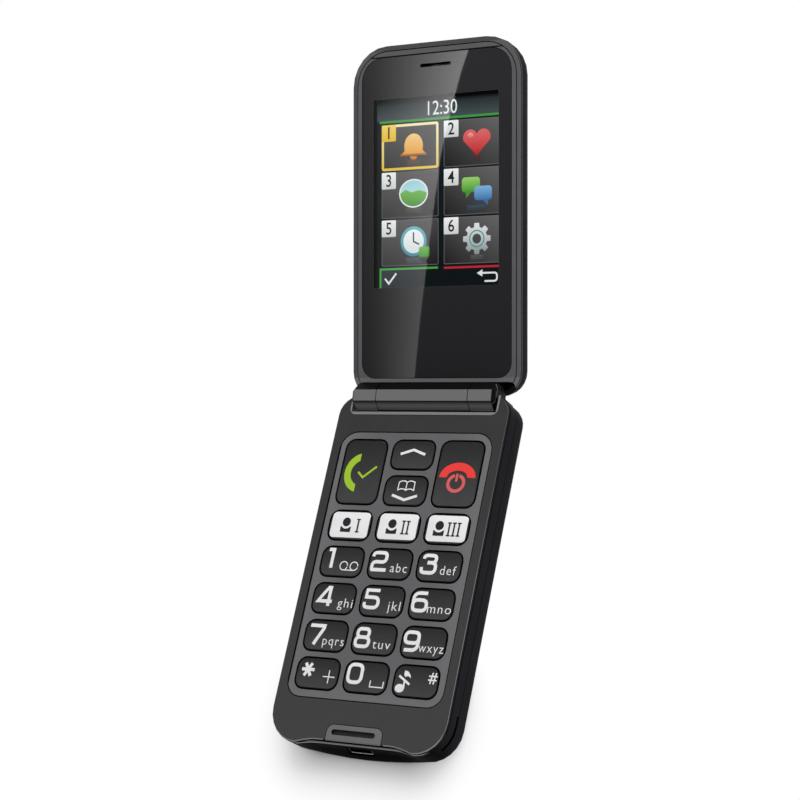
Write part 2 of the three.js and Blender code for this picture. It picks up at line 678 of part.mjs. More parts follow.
// The black rear housing: side walls, a floor under the board, and the battery's bay below it.
function rearHousing() {
  const walls = loft([COVER_HEIGHT, (COVER_HEIGHT + HOUSING_TOP) / 2, HOUSING_TOP].map((z) => (
    { points: baseOutline(0, endAt(z)), z }
  )));
  const inside = baseOutline(BASE_WALL, RIM_END);
  const crossTop = -CRADLE_DOWN - CRADLE_GAP;
  const bayBottom = COVER_FLOOR + FIT;
  const bay = box(
    -bayHalf - BAY_WALL, bayHalf + BAY_WALL, bayLow - BAY_WALL, bayTop + BAY_WALL, bayBottom, FLOOR_HEIGHT,
  );
  const wallSpan = BASE_HALF - BASE_WALL / 2;
  const crossWall = box(
    -wallSpan, wallSpan, crossTop - CROSS_WALL, crossTop, COVER_HEIGHT, HOUSING_TOP - CASING_THICKNESS,
  );
  const bayHollow = box(-bayHalf, bayHalf, bayLow, bayTop, bayBottom - OVERRUN, FLOOR_HEIGHT);
  const contactGap = box(
    -CONTACT_GAP_HALF, CONTACT_GAP_HALF, bayLow - BAY_WALL - FIT, bayLow + FIT, 0, FLOOR_HEIGHT,
  );
  const holes = screwPlaces.map(([, x, y]) => (
    disc(SCREW_SHAFT + SCREW_HOLE_GAP, FLOOR_HEIGHT - OVERRUN, FLOOR_TOP + OVERRUN, x, y)
  ));
  const tray = build(walls, [], [
    plate(inside, FLOOR_TOP, HOUSING_TOP + OVERRUN),
    plate(inside, COVER_HEIGHT - OVERRUN, FLOOR_HEIGHT),
    cradleNotch(0),
  ]);
  const whole = joinTo(tray, [bay, crossWall]);
  return toGeometry(cutAway(whole, [bayHollow, contactGap, socketRoom(), nailSlot(), ...holes]));
}

// The outer form of the battery cover: a rounded edge all round, then the walls up to the seam.
function coverForm() {
  const edge = Array.from({ length: ROUNDING_STEPS + 1 }, (_, i) => {
    const angle = (i / ROUNDING_STEPS) * (Math.PI / 2);
    const z = BASE_BACK_ROUNDING * (1 - Math.cos(angle));
    return { points: baseOutline(BASE_BACK_ROUNDING * (1 - Math.sin(angle)), endAt(z)), z };
  });
  const half = (BASE_BACK_ROUNDING + COVER_HEIGHT) / 2;
  return loft([...edge, ...[half, COVER_HEIGHT].map((z) => ({ points: baseOutline(0, endAt(z)), z }))]);
}

// The slot for a fingernail, round the lower right corner at the seam.
function nailSlot() {
  const start = THREE.MathUtils.degToRad(NAIL_SLOT_START_DEG);
  const centre = new THREE.Vector2(BASE_HALF - BASE_BOTTOM_RADIUS, BASE_BOTTOM_RADIUS - BASE_LENGTH);
  const path = (radius) => {
    const arc = Array.from({ length: CORNER_STEPS + 1 }, (_, i) => {
      const angle = start * (1 - i / CORNER_STEPS);
      return new THREE.Vector2(Math.cos(angle), Math.sin(angle)).multiplyScalar(radius).add(centre);
    });
    return [...arc, new THREE.Vector2(radius, NAIL_SLOT_RUN).add(centre)];
  };
  const outer = path(BASE_BOTTOM_RADIUS + OVERRUN);
  const inner = path(BASE_BOTTOM_RADIUS - NAIL_SLOT_DEPTH).reverse();
  return plate([...outer, ...inner], COVER_HEIGHT - OVERRUN, COVER_HEIGHT + NAIL_SLOT_HEIGHT);
}

function batteryCover() {
  const slots = Array.from({ length: GRILLE_SLOTS }, (_, i) => {
    const y = -SPEAKER_BOTTOM + SPEAKER_LENGTH / 2 + (i - (GRILLE_SLOTS - 1) / 2) * GRILLE_PITCH;
    const form = {
      half: GRILLE_SLOT_LENGTH / 2,
      middle: SPEAKER_X,
      top: y + GRILLE_SLOT_WIDTH / 2,
      low: y - GRILLE_SLOT_WIDTH / 2,
      topRadius: GRILLE_SLOT_WIDTH / 2,
      lowRadius: GRILLE_SLOT_WIDTH / 2,
    };
    return plate(roundedOutline(form, 0, 2), -OVERRUN, COVER_FLOOR + OVERRUN);
  });
  const innerEdge = BASE_BACK_ROUNDING - BASE_WALL;
  const inside = loft([
    { points: baseOutline(BASE_BACK_ROUNDING, RIM_END), z: COVER_FLOOR },
    { points: baseOutline(BASE_WALL, RIM_END), z: COVER_FLOOR + innerEdge },
    { points: baseOutline(BASE_WALL, RIM_END), z: COVER_HEIGHT + OVERRUN },
  ]);
  const crossTop = -CRADLE_DOWN - CRADLE_GAP;
  const shelfHalf = BASE_HALF - BASE_WALL;
  const shelfTop = AXIS_HEIGHT - RUNNING_RADIUS - CRADLE_WALL - FIT;
  const shelf = box(
    -shelfHalf, shelfHalf, crossTop - CROSS_WALL, -BASE_TOP_GAP - BASE_WALL / 2, COVER_FLOOR / 2, shelfTop,
  );
  const blank = solid(plate(baseOutline(BASE_WALL, RIM_END), 0, COVER_HEIGHT));
  const shell = build(coverForm(), [], [inside]).add(solid(shelf).intersect(blank));
  const cradle = cradleNotch(AXIS_HEIGHT - RUNNING_RADIUS - CRADLE_WALL - CRADLE_GAP);
  return toGeometry(cutAway(shell, [cradle, socketRoom(), ...slots]));
}

// Inner pieces of the keypad half

function mainBoard() {
  return plate(boardOutline(0), BOARD_HEIGHT, BOARD_HEIGHT + BOARD_THICKNESS);
}

function battery() {
  const form = {
    half: BATTERY_HALF,
    top: -BATTERY_TOP,
    low: -BATTERY_BOTTOM,
    topRadius: BATTERY_CORNER,
    lowRadius: BATTERY_CORNER,
  };
  return plate(roundedOutline(form, 0, SMALL_CORNER_STEPS), COVER_FLOOR + FIT, FLOOR_HEIGHT - FIT);
}

// The contact block in the gap of the bay's lower wall, with a rib on each side of every blade.
function batteryContacts() {
  const half = CONTACT_GAP_HALF - FIT;
  const top = bayLow - FIT / 2;
  const low = FLOOR_HEIGHT - CONTACTS_HEIGHT;
  const high = FLOOR_HEIGHT - FIT;
  const block = box(-half, half, top - CONTACTS_LENGTH, top - CONTACTS_RIB, low, high);
  const ribs = Array.from({ length: CONTACT_RIBS }, (_, i) => {
    const x = ((i / (CONTACT_RIBS - 1)) * 2 - 1) * (half - CONTACTS_RIB / 2);
    return box(x - CONTACTS_RIB / 2, x + CONTACTS_RIB / 2, top - CONTACTS_LENGTH, top, low, high);
  });
  return toGeometry(build(block, ribs, []));
}

function simHolder() {
  const top = FLOOR_HEIGHT - FIT;
  const tray = box(
    SIM_X - SIM_WIDTH / 2, SIM_X + SIM_WIDTH / 2, -SIM_TOP - SIM_LENGTH, -SIM_TOP, top - SIM_THICKNESS, top,
  );
  const wall = SIM_THICKNESS / 4;
  const slot = box(
    SIM_X - SIM_WIDTH / 2 + wall, SIM_X + SIM_WIDTH / 2 + OVERRUN,
    -SIM_TOP - SIM_LENGTH + wall, -SIM_TOP - wall, top - SIM_THICKNESS + wall, top - wall,
  );
  return toGeometry(build(tray, [], [slot]));
}

function loudspeaker() {
  const form = {
    half: SPEAKER_WIDTH / 2,
    middle: SPEAKER_X,
    top: SPEAKER_LENGTH - SPEAKER_BOTTOM,
    low: -SPEAKER_BOTTOM,
    topRadius: BATTERY_CORNER,
    lowRadius: BATTERY_CORNER,
  };
  return plate(roundedOutline(form, 0, SMALL_CORNER_STEPS), COVER_FLOOR + FIT, FLOOR_HEIGHT - FIT);
}

function vibrationMotor() {
  const half = MOTOR_LENGTH / 2;
  return roundAlongX([[0, -half], [MOTOR_RADIUS, -half], [MOTOR_RADIUS, half], [0, half]])
    .translate(MOTOR_X, MOTOR_END_MARGIN - BASE_LENGTH, FLOOR_HEIGHT - FIT - MOTOR_RADIUS);
}

// The charging socket: a metal sleeve whose open mouth follows the end wall's slope.
function chargingSocket() {
  const half = SOCKET_WIDTH / 2;
  const low = SOCKET_TOP - SOCKET_HEIGHT;
  const front = -BASE_LENGTH - OVERRUN;
  const middle = SOCKET_TOP - SOCKET_HEIGHT / 2;
  const sleeve = box(-half, half, front, SOCKET_BACK, low, SOCKET_TOP);
  const hollow = box(
    -half + SOCKET_WALL, half - SOCKET_WALL,
    front - OVERRUN, SOCKET_BACK - SOCKET_WALL, low + SOCKET_WALL, SOCKET_TOP - SOCKET_WALL,
  );
  const tongue = box(-half / 2, half / 2, front, SOCKET_BACK, middle - SOCKET_WALL, middle + SOCKET_WALL);
  const flush = loft([low, middle, SOCKET_TOP].map((z) => ({ points: baseOutline(FIT, endAt(z)), z })));
  const tongueFlush = plate(baseOutline(BASE_WALL, RIM_END), low, SOCKET_TOP);
  const open = build(sleeve, [], [hollow]).intersect(solid(flush));
  return toGeometry(open.add(solid(tongue).intersect(solid(tongueFlush))));
}

function microphone() {
  const x = BASE_HALF - MICROPHONE_SIDE_MARGIN;
  const y = MICROPHONE_END_MARGIN - BASE_LENGTH;
  return disc(MICROPHONE_RADIUS, BOARD_HEIGHT, BOARD_HEIGHT + MICROPHONE_HEIGHT, x, y);
}

// A screw whose head faces down the negative Z, with the shaft above it.
function screw(headTop, reach, x, y, direction) {
  const profile = [
    [0, headTop - SCREW_HEAD_HEIGHT],
    [SCREW_HEAD, headTop - SCREW_HEAD_HEIGHT],
    [SCREW_HEAD, headTop],
    [SCREW_SHAFT, headTop],
    [SCREW_SHAFT, headTop + reach],
    [0, headTop + reach],
  ];
  const geometry = roundAlongZ(profile, 0, 0);
  return (direction < 0 ? geometry.rotateX(Math.PI) : geometry).translate(x, y, 0);
}

// Hinge, across the axis: y towards the hinge's open side, z up from the axis

function octagon(radius, tilt) {
  return Array.from({ length: BARREL_SIDES }, (_, i) => {
    const angle = tilt + (i * 2 + 1) * (Math.PI / BARREL_SIDES);
    return [-radius * Math.sin(angle), radius * Math.cos(angle)];
  });
}

// A length of the barrel whose outer end is drawn in by a chamfer.
function knuckle() {
  const inner = BARREL_MIDDLE_HALF + FIT;
  const rings = [
    [inner, BARREL_RADIUS],
    [BARREL_HALF - BARREL_CHAMFER, BARREL_RADIUS],
    [BARREL_HALF, BARREL_RADIUS - BARREL_CHAMFER],
  ];
  const levels = rings.map(([along, radius]) => (
    { points: octagon(radius, FACET_TILT).map(([y, z]) => new THREE.Vector2(y, z)), z: along }
  ));
  const turn = new THREE.Matrix4().makeBasis(
    new THREE.Vector3(0, 1, 0),
    new THREE.Vector3(0, 0, 1),
    new THREE.Vector3(1, 0, 0),
  );
  return loft(levels).applyMatrix4(turn);
}

function mirrored(geometry) {
  const copy = merged(geometry).scale(-1, 1, 1);
  copy.setIndex(Array.from(copy.index.array).reverse());
  return copy;
}

// The trough's section: a lip at the face, down the front, and round under the barrel.
function troughProfile() {
  const start = Math.PI;
  const end = THREE.MathUtils.degToRad(TROUGH_END_DEG);
  const arc = Array.from({ length: CORNER_STEPS + 1 }, (_, i) => {
    const angle = start + (i / CORNER_STEPS) * (end - start);
    return [RUNNING_RADIUS * Math.cos(angle), RUNNING_RADIUS * Math.sin(angle)];
  });
  const under = -RUNNING_RADIUS - CRADLE_WALL;
  const rearEnd = arc.at(-1)[0];
  return [
    [-CRADLE_DOWN, AXIS_DEPTH],
    [-CRADLE_DOWN, -AXIS_DEPTH],
    [-CRADLE_DOWN / 2, under],
    [rearEnd, under],
    ...arc.reverse(),
    [-CRADLE_DOWN + CRADLE_LIP, CRADLE_LIP],
    [-CRADLE_DOWN + CRADLE_LIP, AXIS_DEPTH],
  ];
}

function endZoneProfile(top) {
  const under = -RUNNING_RADIUS - CRADLE_WALL;
  return [
    [-CRADLE_DOWN, top],
    [-CRADLE_DOWN, -AXIS_DEPTH],
    [-CRADLE_DOWN / 2, under],
    [-BASE_TOP_GAP, under],
    [-BASE_TOP_GAP, top],
  ];
}

// The cradle: the trough, both fixed end knuckles and the end walls that show as trim round the notch.
function hingeCradle() {
  const inner = BARREL_MIDDLE_HALF + FIT;
  const webTop = BARREL_RADIUS * Math.cos(FACET_TILT + 3 * (Math.PI / BARREL_SIDES));
  const form = {
    half: CRADLE_HALF,
    top: OVERRUN * 2,
    low: -CRADLE_DOWN,
    topRadius: 0,
    lowRadius: CRADLE_CORNER,
  };
  const under = -RUNNING_RADIUS - CRADLE_WALL;
  const plan = plate(roundedOutline(form, 0, SMALL_CORNER_STEPS), under - OVERRUN, BARREL_RADIUS + OVERRUN);
  const knuckles = [knuckle(), mirrored(knuckle())].map((shape) => shape.translate(BARREL_SHIFT, 0, 0));
  const webs = [-1, 1].map((side) => {
    const start = side * inner + BARREL_SHIFT;
    const end = side * CRADLE_HALF;
    return alongX(endZoneProfile(webTop), Math.min(start, end), Math.max(start, end));
  });
  const wall = alongX(endZoneProfile(AXIS_DEPTH), CRADLE_HALF - CRADLE_WALL, CRADLE_HALF);
  const reach = BARREL_HALF - BORE_END_WALL;
  const bore = roundAlongX([[0, -reach], [BORE_RADIUS, -reach], [BORE_RADIUS, reach], [0, reach]]);
  const trough = alongX(troughProfile(), -CRADLE_HALF, CRADLE_HALF);
  const walls = [wall, mirrored(wall)];
  const body = build(trough, [...knuckles, ...webs, ...walls], [bore.translate(BARREL_SHIFT, 0, 0)]);
  return toGeometry(body.intersect(solid(plan)).translate([0, 0, AXIS_HEIGHT]));
}

// The middle of the barrel, which turns with the lid, and the neck that goes into the lid under its casing.
function hingeBarrel() {
  const half = BARREL_MIDDLE_HALF;
  const neckLow = BEHIND_SURROUND - NECK_THICKNESS;
  const shape = alongX(octagon(BARREL_RADIUS, -FACET_TILT), -half, half);
  const neck = alongX([
    [NECK_BACK - NECK_THICKNESS, -AXIS_DEPTH],
    [NECK_FRONT - NECK_THICKNESS, -AXIS_DEPTH],
    [NECK_FRONT, LID_SPLIT],
    [NECK_FRONT, BEHIND_SURROUND],
    [NECK_REACH, BEHIND_SURROUND],
    [NECK_REACH, neckLow],
    [NECK_BACK, neckLow],
    [NECK_BACK - NECK_THICKNESS / 2, LID_SPLIT],
  ], -half, half);
  const reach = half + OVERRUN;
  const bore = roundAlongX([[0, -reach], [BORE_RADIUS, -reach], [BORE_RADIUS, reach], [0, reach]]);
  return toGeometry(build(shape, [neck], [bore])).translate(BARREL_SHIFT, 0, 0);
}

function hingeCartridge() {
  const outer = -BARREL_HALF + BORE_END_WALL + FIT;
  const end = outer + CARTRIDGE_LENGTH;
  return roundAlongX([
    [0, outer],
    [PIN_RADIUS, outer],
    [PIN_RADIUS, end - CARTRIDGE_NOSE],
    [CARTRIDGE_NOSE_RADIUS, end - CARTRIDGE_NOSE],
    [CARTRIDGE_NOSE_RADIUS, end],
    [0, end],
  ]).translate(BARREL_SHIFT, 0, AXIS_HEIGHT);
}

function hingePin() {
  const outer = BARREL_HALF - BORE_END_WALL - FIT;
  return roundAlongX([
    [0, outer - PIN_LENGTH],
    [PIN_RADIUS, outer - PIN_LENGTH],
    [PIN_RADIUS, outer],
    [0, outer],
  ]).translate(BARREL_SHIFT, 0, AXIS_HEIGHT);
}

// Display half, in its own frame: y up the lid from the hinge axis, z out of its inner face

const lidForm = {
  half: LID_HALF,
  top: LID_LENGTH,
  low: LID_BOTTOM_GAP,
  topRadius: LID_TOP_RADIUS,
  lowRadius: LID_BOTTOM_RADIUS,
};
const lensForm = {
  half: LENS_HALF,
  top: LENS_TOP,
  low: LENS_BOTTOM,
  topRadius: LENS_TOP_RADIUS,
  lowRadius: LENS_BOTTOM_RADIUS,
};
const slotForm = {
  half: EARPIECE_SLOT_LENGTH / 2,
  top: EARPIECE_SLOT_Y + EARPIECE_SLOT_WIDTH / 2,
  low: EARPIECE_SLOT_Y - EARPIECE_SLOT_WIDTH / 2,
  topRadius: EARPIECE_SLOT_CORNER,
  lowRadius: EARPIECE_SLOT_CORNER,
};
const windowForm = {
  half: WINDOW_HALF + WINDOW_MARGIN,
  top: WINDOW_TOP + WINDOW_MARGIN,
  low: WINDOW_BOTTOM - WINDOW_MARGIN,
  topRadius: LENS_GAP,
  lowRadius: LENS_GAP,
};
const lidScrewPlaces = [
  ['left', LID_SCREW_SIDE_MARGIN - BASE_HALF, LID_SCREW_Y],
  ['right', BASE_HALF - LID_SCREW_SIDE_MARGIN, LID_SCREW_Y],
];

// The grey ring round the lens, with the fine groove, the ledge behind the lens and the notch for the barrel.
function lidFrontCasing() {
  const innerBack = LID_FACE - RING_INNER_DEPTH;
  const grooveHalf = RING_GROOVE_WIDTH / 2;
  const ring = frame([
    { points: roundedOutline(lidForm), z: LID_SPLIT },
    { points: roundedOutline(lidForm), z: LID_FACE - RING_CHAMFER },
    { points: roundedOutline(lidForm, RING_CHAMFER), z: LID_FACE },
    { points: roundedOutline(lidForm, RING_GROOVE_INSET - grooveHalf), z: LID_FACE },
    { points: roundedOutline(lidForm, RING_GROOVE_INSET), z: LID_FACE - RING_GROOVE_DEPTH },
    { points: roundedOutline(lidForm, RING_GROOVE_INSET + grooveHalf), z: LID_FACE },
    { points: roundedOutline(lensForm, -LENS_GAP), z: LID_FACE },
    { points: roundedOutline(lensForm, -LENS_GAP), z: SURROUND_FRONT },
    { points: roundedOutline(lensForm, RING_LEDGE), z: SURROUND_FRONT },
    { points: roundedOutline(lensForm, RING_LEDGE), z: innerBack },
    { points: roundedOutline(lidForm, LID_WALL + FIT), z: innerBack },
    { points: roundedOutline(lidForm, LID_WALL + FIT), z: LID_SPLIT },
  ]);
  const notch = {
    half: NOTCH_HALF,
    top: NOTCH_HEIGHT,
    low: -OVERRUN,
    topRadius: NOTCH_CORNER,
    lowRadius: NOTCH_CORNER,
  };
  return toGeometry(build(ring, [], [
    plate(roundedOutline(notch, 0, SMALL_CORNER_STEPS), LID_BACK, LID_FACE + OVERRUN),
  ]));
}

// The black outer cover: a rounded back, hollow, with the scoop that clears the barrel and two screw bosses.
function lidRearCover() {
  const edge = Array.from({ length: ROUNDING_STEPS + 1 }, (_, i) => {
    const angle = (i / ROUNDING_STEPS) * (Math.PI / 2);
    const inset = LID_BACK_ROUNDING * (1 - Math.sin(angle));
    const rise = LID_BACK_ROUNDING * (1 - Math.cos(angle));
    return { points: roundedOutline(lidForm, inset), z: LID_BACK + rise };
  });
  const shell = loft([...edge, { points: roundedOutline(lidForm), z: LID_SPLIT }]);
  const floor = LID_BACK + LID_FLOOR;
  const inside = loft([
    { points: roundedOutline(lidForm, LID_BACK_ROUNDING), z: floor },
    { points: roundedOutline(lidForm, LID_WALL + LID_FLOOR), z: floor + LID_WALL },
    { points: roundedOutline(lidForm, LID_WALL), z: LID_BACK + LID_BACK_ROUNDING },
    { points: roundedOutline(lidForm, LID_WALL), z: LID_SPLIT + OVERRUN },
  ]);
  const clear = BARREL_RADIUS + NOTCH_CLEARANCE;
  const scoop = roundAlongX([[0, -NOTCH_HALF], [clear, -NOTCH_HALF], [clear, NOTCH_HALF], [0, NOTCH_HALF]]);
  const bosses = lidScrewPlaces.map(([, x, y]) => (
    disc(LID_BOSS_RADIUS, floor - LID_FLOOR / 2, BEHIND_SURROUND, x, y)
  ));
  const holes = lidScrewPlaces.map(([, x, y]) => (
    disc(SCREW_SHAFT + SCREW_HOLE_GAP, floor, BEHIND_SURROUND + OVERRUN, x, y)
  ));
  const hollow = build(shell, [], [inside, scoop]);
  return toGeometry(cutAway(joinTo(hollow, bosses), holes));
}

function displayLens() {
  const slot = roundedOutline(slotForm, 0, SMALL_CORNER_STEPS);
  return plateWithHoles(roundedOutline(lensForm), [slot], LENS_FRONT - LENS_THICKNESS, LENS_FRONT);
}

// The black frame under the lens. The display is seen through its window, and the lid's screws hold it down.
function displaySurround() {
  const outline = roundedOutline(lensForm, RING_LEDGE + FIT);
  const holes = [
    roundedOutline(windowForm, 0, 1),
    roundedOutline(slotForm, 0, SMALL_CORNER_STEPS),
  ];
  const sheet = plateWithHoles(outline, holes, SURROUND_BACK, SURROUND_FRONT);
  const shaft = lidScrewPlaces.map(([, x, y]) => (
    disc(SCREW_SHAFT + SCREW_HOLE_GAP, SURROUND_BACK - OVERRUN, SURROUND_FRONT + OVERRUN, x, y)
  ));
  const seatBottom = LID_HEAD_SEAT - SEAT;
  const seat = lidScrewPlaces.map(([, x, y]) => (
    disc(SCREW_HEAD + SCREW_HOLE_GAP, seatBottom, SURROUND_FRONT + OVERRUN, x, y)
  ));
  return toGeometry(build(sheet, [], [...shaft, ...seat]));
}

function displayModule() {
  const half = WINDOW_HALF + DISPLAY_MARGIN;
  return box(
    -half, half, WINDOW_BOTTOM - DISPLAY_FOOT, WINDOW_TOP + DISPLAY_HEAD,
    BEHIND_SURROUND - DISPLAY_THICKNESS, BEHIND_SURROUND,
  );
}

function lidBoard() {
  return box(
    -LID_BOARD_HALF, LID_BOARD_HALF, LID_BOARD_BOTTOM, LID_BOARD_TOP,
    BEHIND_SURROUND - BOARD_THICKNESS, BEHIND_SURROUND,
  );
}

function earpiece() {
  const form = {
    half: EARPIECE_LENGTH / 2,
    top: EARPIECE_Y + EARPIECE_WIDTH / 2,
    low: EARPIECE_Y - EARPIECE_WIDTH / 2,
    topRadius: EARPIECE_WIDTH / 2,
    lowRadius: EARPIECE_WIDTH / 2,
  };
  const outline = roundedOutline(form, 0, SMALL_CORNER_STEPS);
  return plate(outline, BEHIND_SURROUND - EARPIECE_HEIGHT, BEHIND_SURROUND);
}

function closingMagnet() {
  const half = MAGNET_SIZE / 2;
  const x = BASE_HALF - MAGNET_SIDE_MARGIN;
  return box(
    x - half, x + half, MAGNET_Y - half, MAGNET_Y + half,
    BEHIND_SURROUND - MAGNET_THICKNESS, BEHIND_SURROUND,
  );
}

piece(basePlace, 'base_front_casing', frontCasing(), anthracite);
piece(basePlace, 'keypad_panel', keypadPanel(), midGrey);
keys.forEach((key) => {
  piece(basePlace, key.name, keyCap(key), key.name.startsWith('key_memory') ? keyWhite : keyBlack);
});
piece(basePlace, 'keypad_membrane', keypadMembrane(), rubberGrey);
piece(basePlace, 'main_board', mainBoard(), boardGreen);
piece(basePlace, 'rear_housing', rearHousing(), shellBlack);
piece(basePlace, 'battery_cover', batteryCover(), shellBlack);
piece(basePlace, 'end_tab', endTab(), midGrey);
piece(basePlace, 'battery', battery(), batteryGrey);
piece(basePlace, 'battery_contacts', batteryContacts(), steel);
piece(basePlace, 'sim_holder', simHolder(), steel);
piece(basePlace, 'loudspeaker', loudspeaker(), rubberGrey);
piece(basePlace, 'vibration_motor', vibrationMotor(), steel);
piece(basePlace, 'microphone', microphone(), steel);
piece(basePlace, 'charging_socket', chargingSocket(), steel);
screwPlaces.forEach(([name, x, y]) => {
  piece(basePlace, `base_screw_${name}`, screw(FLOOR_HEIGHT - SEAT, BASE_SCREW_REACH, x, y, 1), steel);
});
piece(basePlace, 'hinge_cradle', hingeCradle(), midGrey);
piece(basePlace, 'hinge_cartridge', hingeCartridge(), steel);
piece(basePlace, 'hinge_pin', hingePin(), steel);

piece(lidPlace, 'hinge_barrel', hingeBarrel(), midGrey);
piece(lidPlace, 'lid_front_casing', lidFrontCasing(), midGrey);
piece(lidPlace, 'lid_rear_cover', lidRearCover(), shellBlack);
piece(lidPlace, 'display_lens', displayLens(), glossBlack);
piece(lidPlace, 'display_surround', displaySurround(), glossBlack);
piece(lidPlace, 'display_module', displayModule(), screenBlack);
piece(lidPlace, 'lid_board', lidBoard(), boardGreen);
piece(lidPlace, 'earpiece', earpiece(), steel);
piece(lidPlace, 'closing_magnet', closingMagnet(), steel);
lidScrewPlaces.forEach(([name, x, y]) => {
  piece(lidPlace, `lid_screw_${name}`, screw(-LID_HEAD_SEAT, LID_SCREW_REACH, x, y, -1), steel);
});

const phone = new THREE.Group();
phone.name = 'flip_phone';
phone.add(basePlace, lidPlace);

export default phone;
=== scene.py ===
"""Finish and studio for a flip phone with large keys, open and lying on its back.

Millimetres are turned to metres by MM. The keypad half lies in the frame's own axes. What is on the display
half is drawn flat, with y up the lid and z out of its inner face, and then put in place by LID.
"""

import math

import bmesh
import bpy
from mathutils import Matrix, Vector
from mathutils.bvhtree import BVHTree
from mathutils.geometry import tessellate_polygon


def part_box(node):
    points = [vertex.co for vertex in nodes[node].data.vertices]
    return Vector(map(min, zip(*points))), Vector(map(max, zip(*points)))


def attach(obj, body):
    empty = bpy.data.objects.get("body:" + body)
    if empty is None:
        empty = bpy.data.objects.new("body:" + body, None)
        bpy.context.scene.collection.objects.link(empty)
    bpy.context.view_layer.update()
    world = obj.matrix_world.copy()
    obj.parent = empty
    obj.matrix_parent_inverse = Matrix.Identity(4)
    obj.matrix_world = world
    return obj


MM = 0.001
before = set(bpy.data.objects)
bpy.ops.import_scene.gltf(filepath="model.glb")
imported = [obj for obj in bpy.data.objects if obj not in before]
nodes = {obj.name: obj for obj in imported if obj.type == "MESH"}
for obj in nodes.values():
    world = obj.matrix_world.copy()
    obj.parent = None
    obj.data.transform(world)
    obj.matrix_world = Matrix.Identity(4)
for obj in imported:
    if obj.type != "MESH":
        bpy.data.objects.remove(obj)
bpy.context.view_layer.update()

# The hinge axis and the lid's slope in the pose of the frame
HINGE = Vector((0, 50.45, 8.8)) * MM
LID_SLOPE = math.radians(22.7)
LID = Matrix.Translation(HINGE) @ Matrix.Rotation(LID_SLOPE, 4, "X")

# Heights on the lid
LENS_FRONT = -3.0
DISPLAY_FACE = -5.9

# The colour inputs and the colour output of a Mix node
MIX_FIRST, MIX_SECOND, MIX_RESULT = 6, 7, 2


def linear(hex_colour):
    """An sRGB colour as the linear values that a shader takes."""
    parts = [int(hex_colour[i : i + 2], 16) / 255 for i in (0, 2, 4)]
    return [p / 12.92 if p <= 0.04045 else ((p + 0.055) / 1.055) ** 2.4 for p in parts] + [1.0]


def add_node(tree, kind, inputs=None, **settings):
    """Adds a node. An input given as a socket is linked, and any other value is set."""
    node = tree.nodes.new(kind)
    for name, value in settings.items():
        setattr(node, name, value)
    for key, value in (inputs or {}).items():
        if isinstance(value, bpy.types.NodeSocket):
            tree.links.new(value, node.inputs[key])
        else:
            node.inputs[key].default_value = value
    return node


def new_material(name):
    """An empty material and its tree."""
    material = bpy.data.materials.new(name)
    material.use_nodes = True
    material.node_tree.nodes.clear()
    return material, material.node_tree


def finish(material, shader):
    """Makes a shader the surface of its material."""
    add_node(material.node_tree, "ShaderNodeOutputMaterial", {"Surface": shader.outputs[0]})
    return material


def new_object(name, data):
    made = bpy.data.objects.new(name, data)
    bpy.context.scene.collection.objects.link(made)
    return made


def surface_point(tree):
    """The shaded point in the frame's own axes, in metres."""
    return add_node(tree, "ShaderNodeTexCoord").outputs["Object"]


def grain(tree, size_mm, detail=2.0, point=None):
    """A noise whose features are about size_mm wide."""
    return add_node(tree, "ShaderNodeTexNoise", {
        "Vector": point or surface_point(tree), "Scale": 1 / (size_mm * MM), "Detail": detail,
    }).outputs["Fac"]


def maths(tree, operation, *values):
    return add_node(tree, "ShaderNodeMath", dict(enumerate(values)), operation=operation).outputs[0]


def ramp(tree, value, start, end, low=0.0, high=1.0):
    """A value that goes from low to high as another goes from start to end."""
    return add_node(tree, "ShaderNodeMapRange", {
        "Value": value, "From Min": start, "From Max": end, "To Min": low, "To Max": high,
    }).outputs["Result"]


def spread(tree, value, low, high):
    """A noise value, spread from low to high."""
    return ramp(tree, value, 0.3, 0.7, low, high)


def mix_colours(tree, share, first, second):
    """The first colour where share is 0, and the second where it is 1."""
    return add_node(tree, "ShaderNodeMix", {
        "Factor": share, MIX_FIRST: first, MIX_SECOND: second,
    }, data_type="RGBA").outputs[MIX_RESULT]


def two_tones(tree, share, first, second):
    return mix_colours(tree, share, linear(first), linear(second))


def bump(tree, height, depth_mm):
    return add_node(tree, "ShaderNodeBump", {
        "Height": height, "Distance": depth_mm * MM, "Strength": 1.0,
    }).outputs["Normal"]


def axis_of(tree, axis):
    """One coordinate in metres. "side X" is x without its sign, and "lid Y" is y in the lid's own axes."""
    point = surface_point(tree)
    if axis.startswith("lid"):
        point = add_node(tree, "ShaderNodeMapping", {
            "Vector": point, "Location": HINGE, "Rotation": (LID_SLOPE, 0, 0),
        }, vector_type="TEXTURE").outputs["Vector"]
    value = add_node(tree, "ShaderNodeSeparateXYZ", {"Vector": point}).outputs[axis[-1]]
    if axis.startswith("side"):
        value = maths(tree, "ABSOLUTE", value)
    return value


def band(axis, start, end):
    """A mask that goes from 0 to 1 as one coordinate goes from start to end, in millimetres."""
    def mask(tree):
        return ramp(tree, axis_of(tree, axis), start * MM, end * MM)
    return mask


def joined(masks, operation):
    """One mask from several."""
    def mask(tree):
        value = masks[0](tree)
        for other in masks[1:]:
            value = maths(tree, operation, value, other(tree))
        return value
    return mask


def all_of(*masks):
    return joined(masks, "MULTIPLY")


def any_of(*masks):
    return joined(masks, "MAXIMUM")


# The rows of keys, in millimetres
ROW_PITCH = 10.593
KEY_HEIGHT = 8.443
LOWEST_KEY_EDGE = -35.5


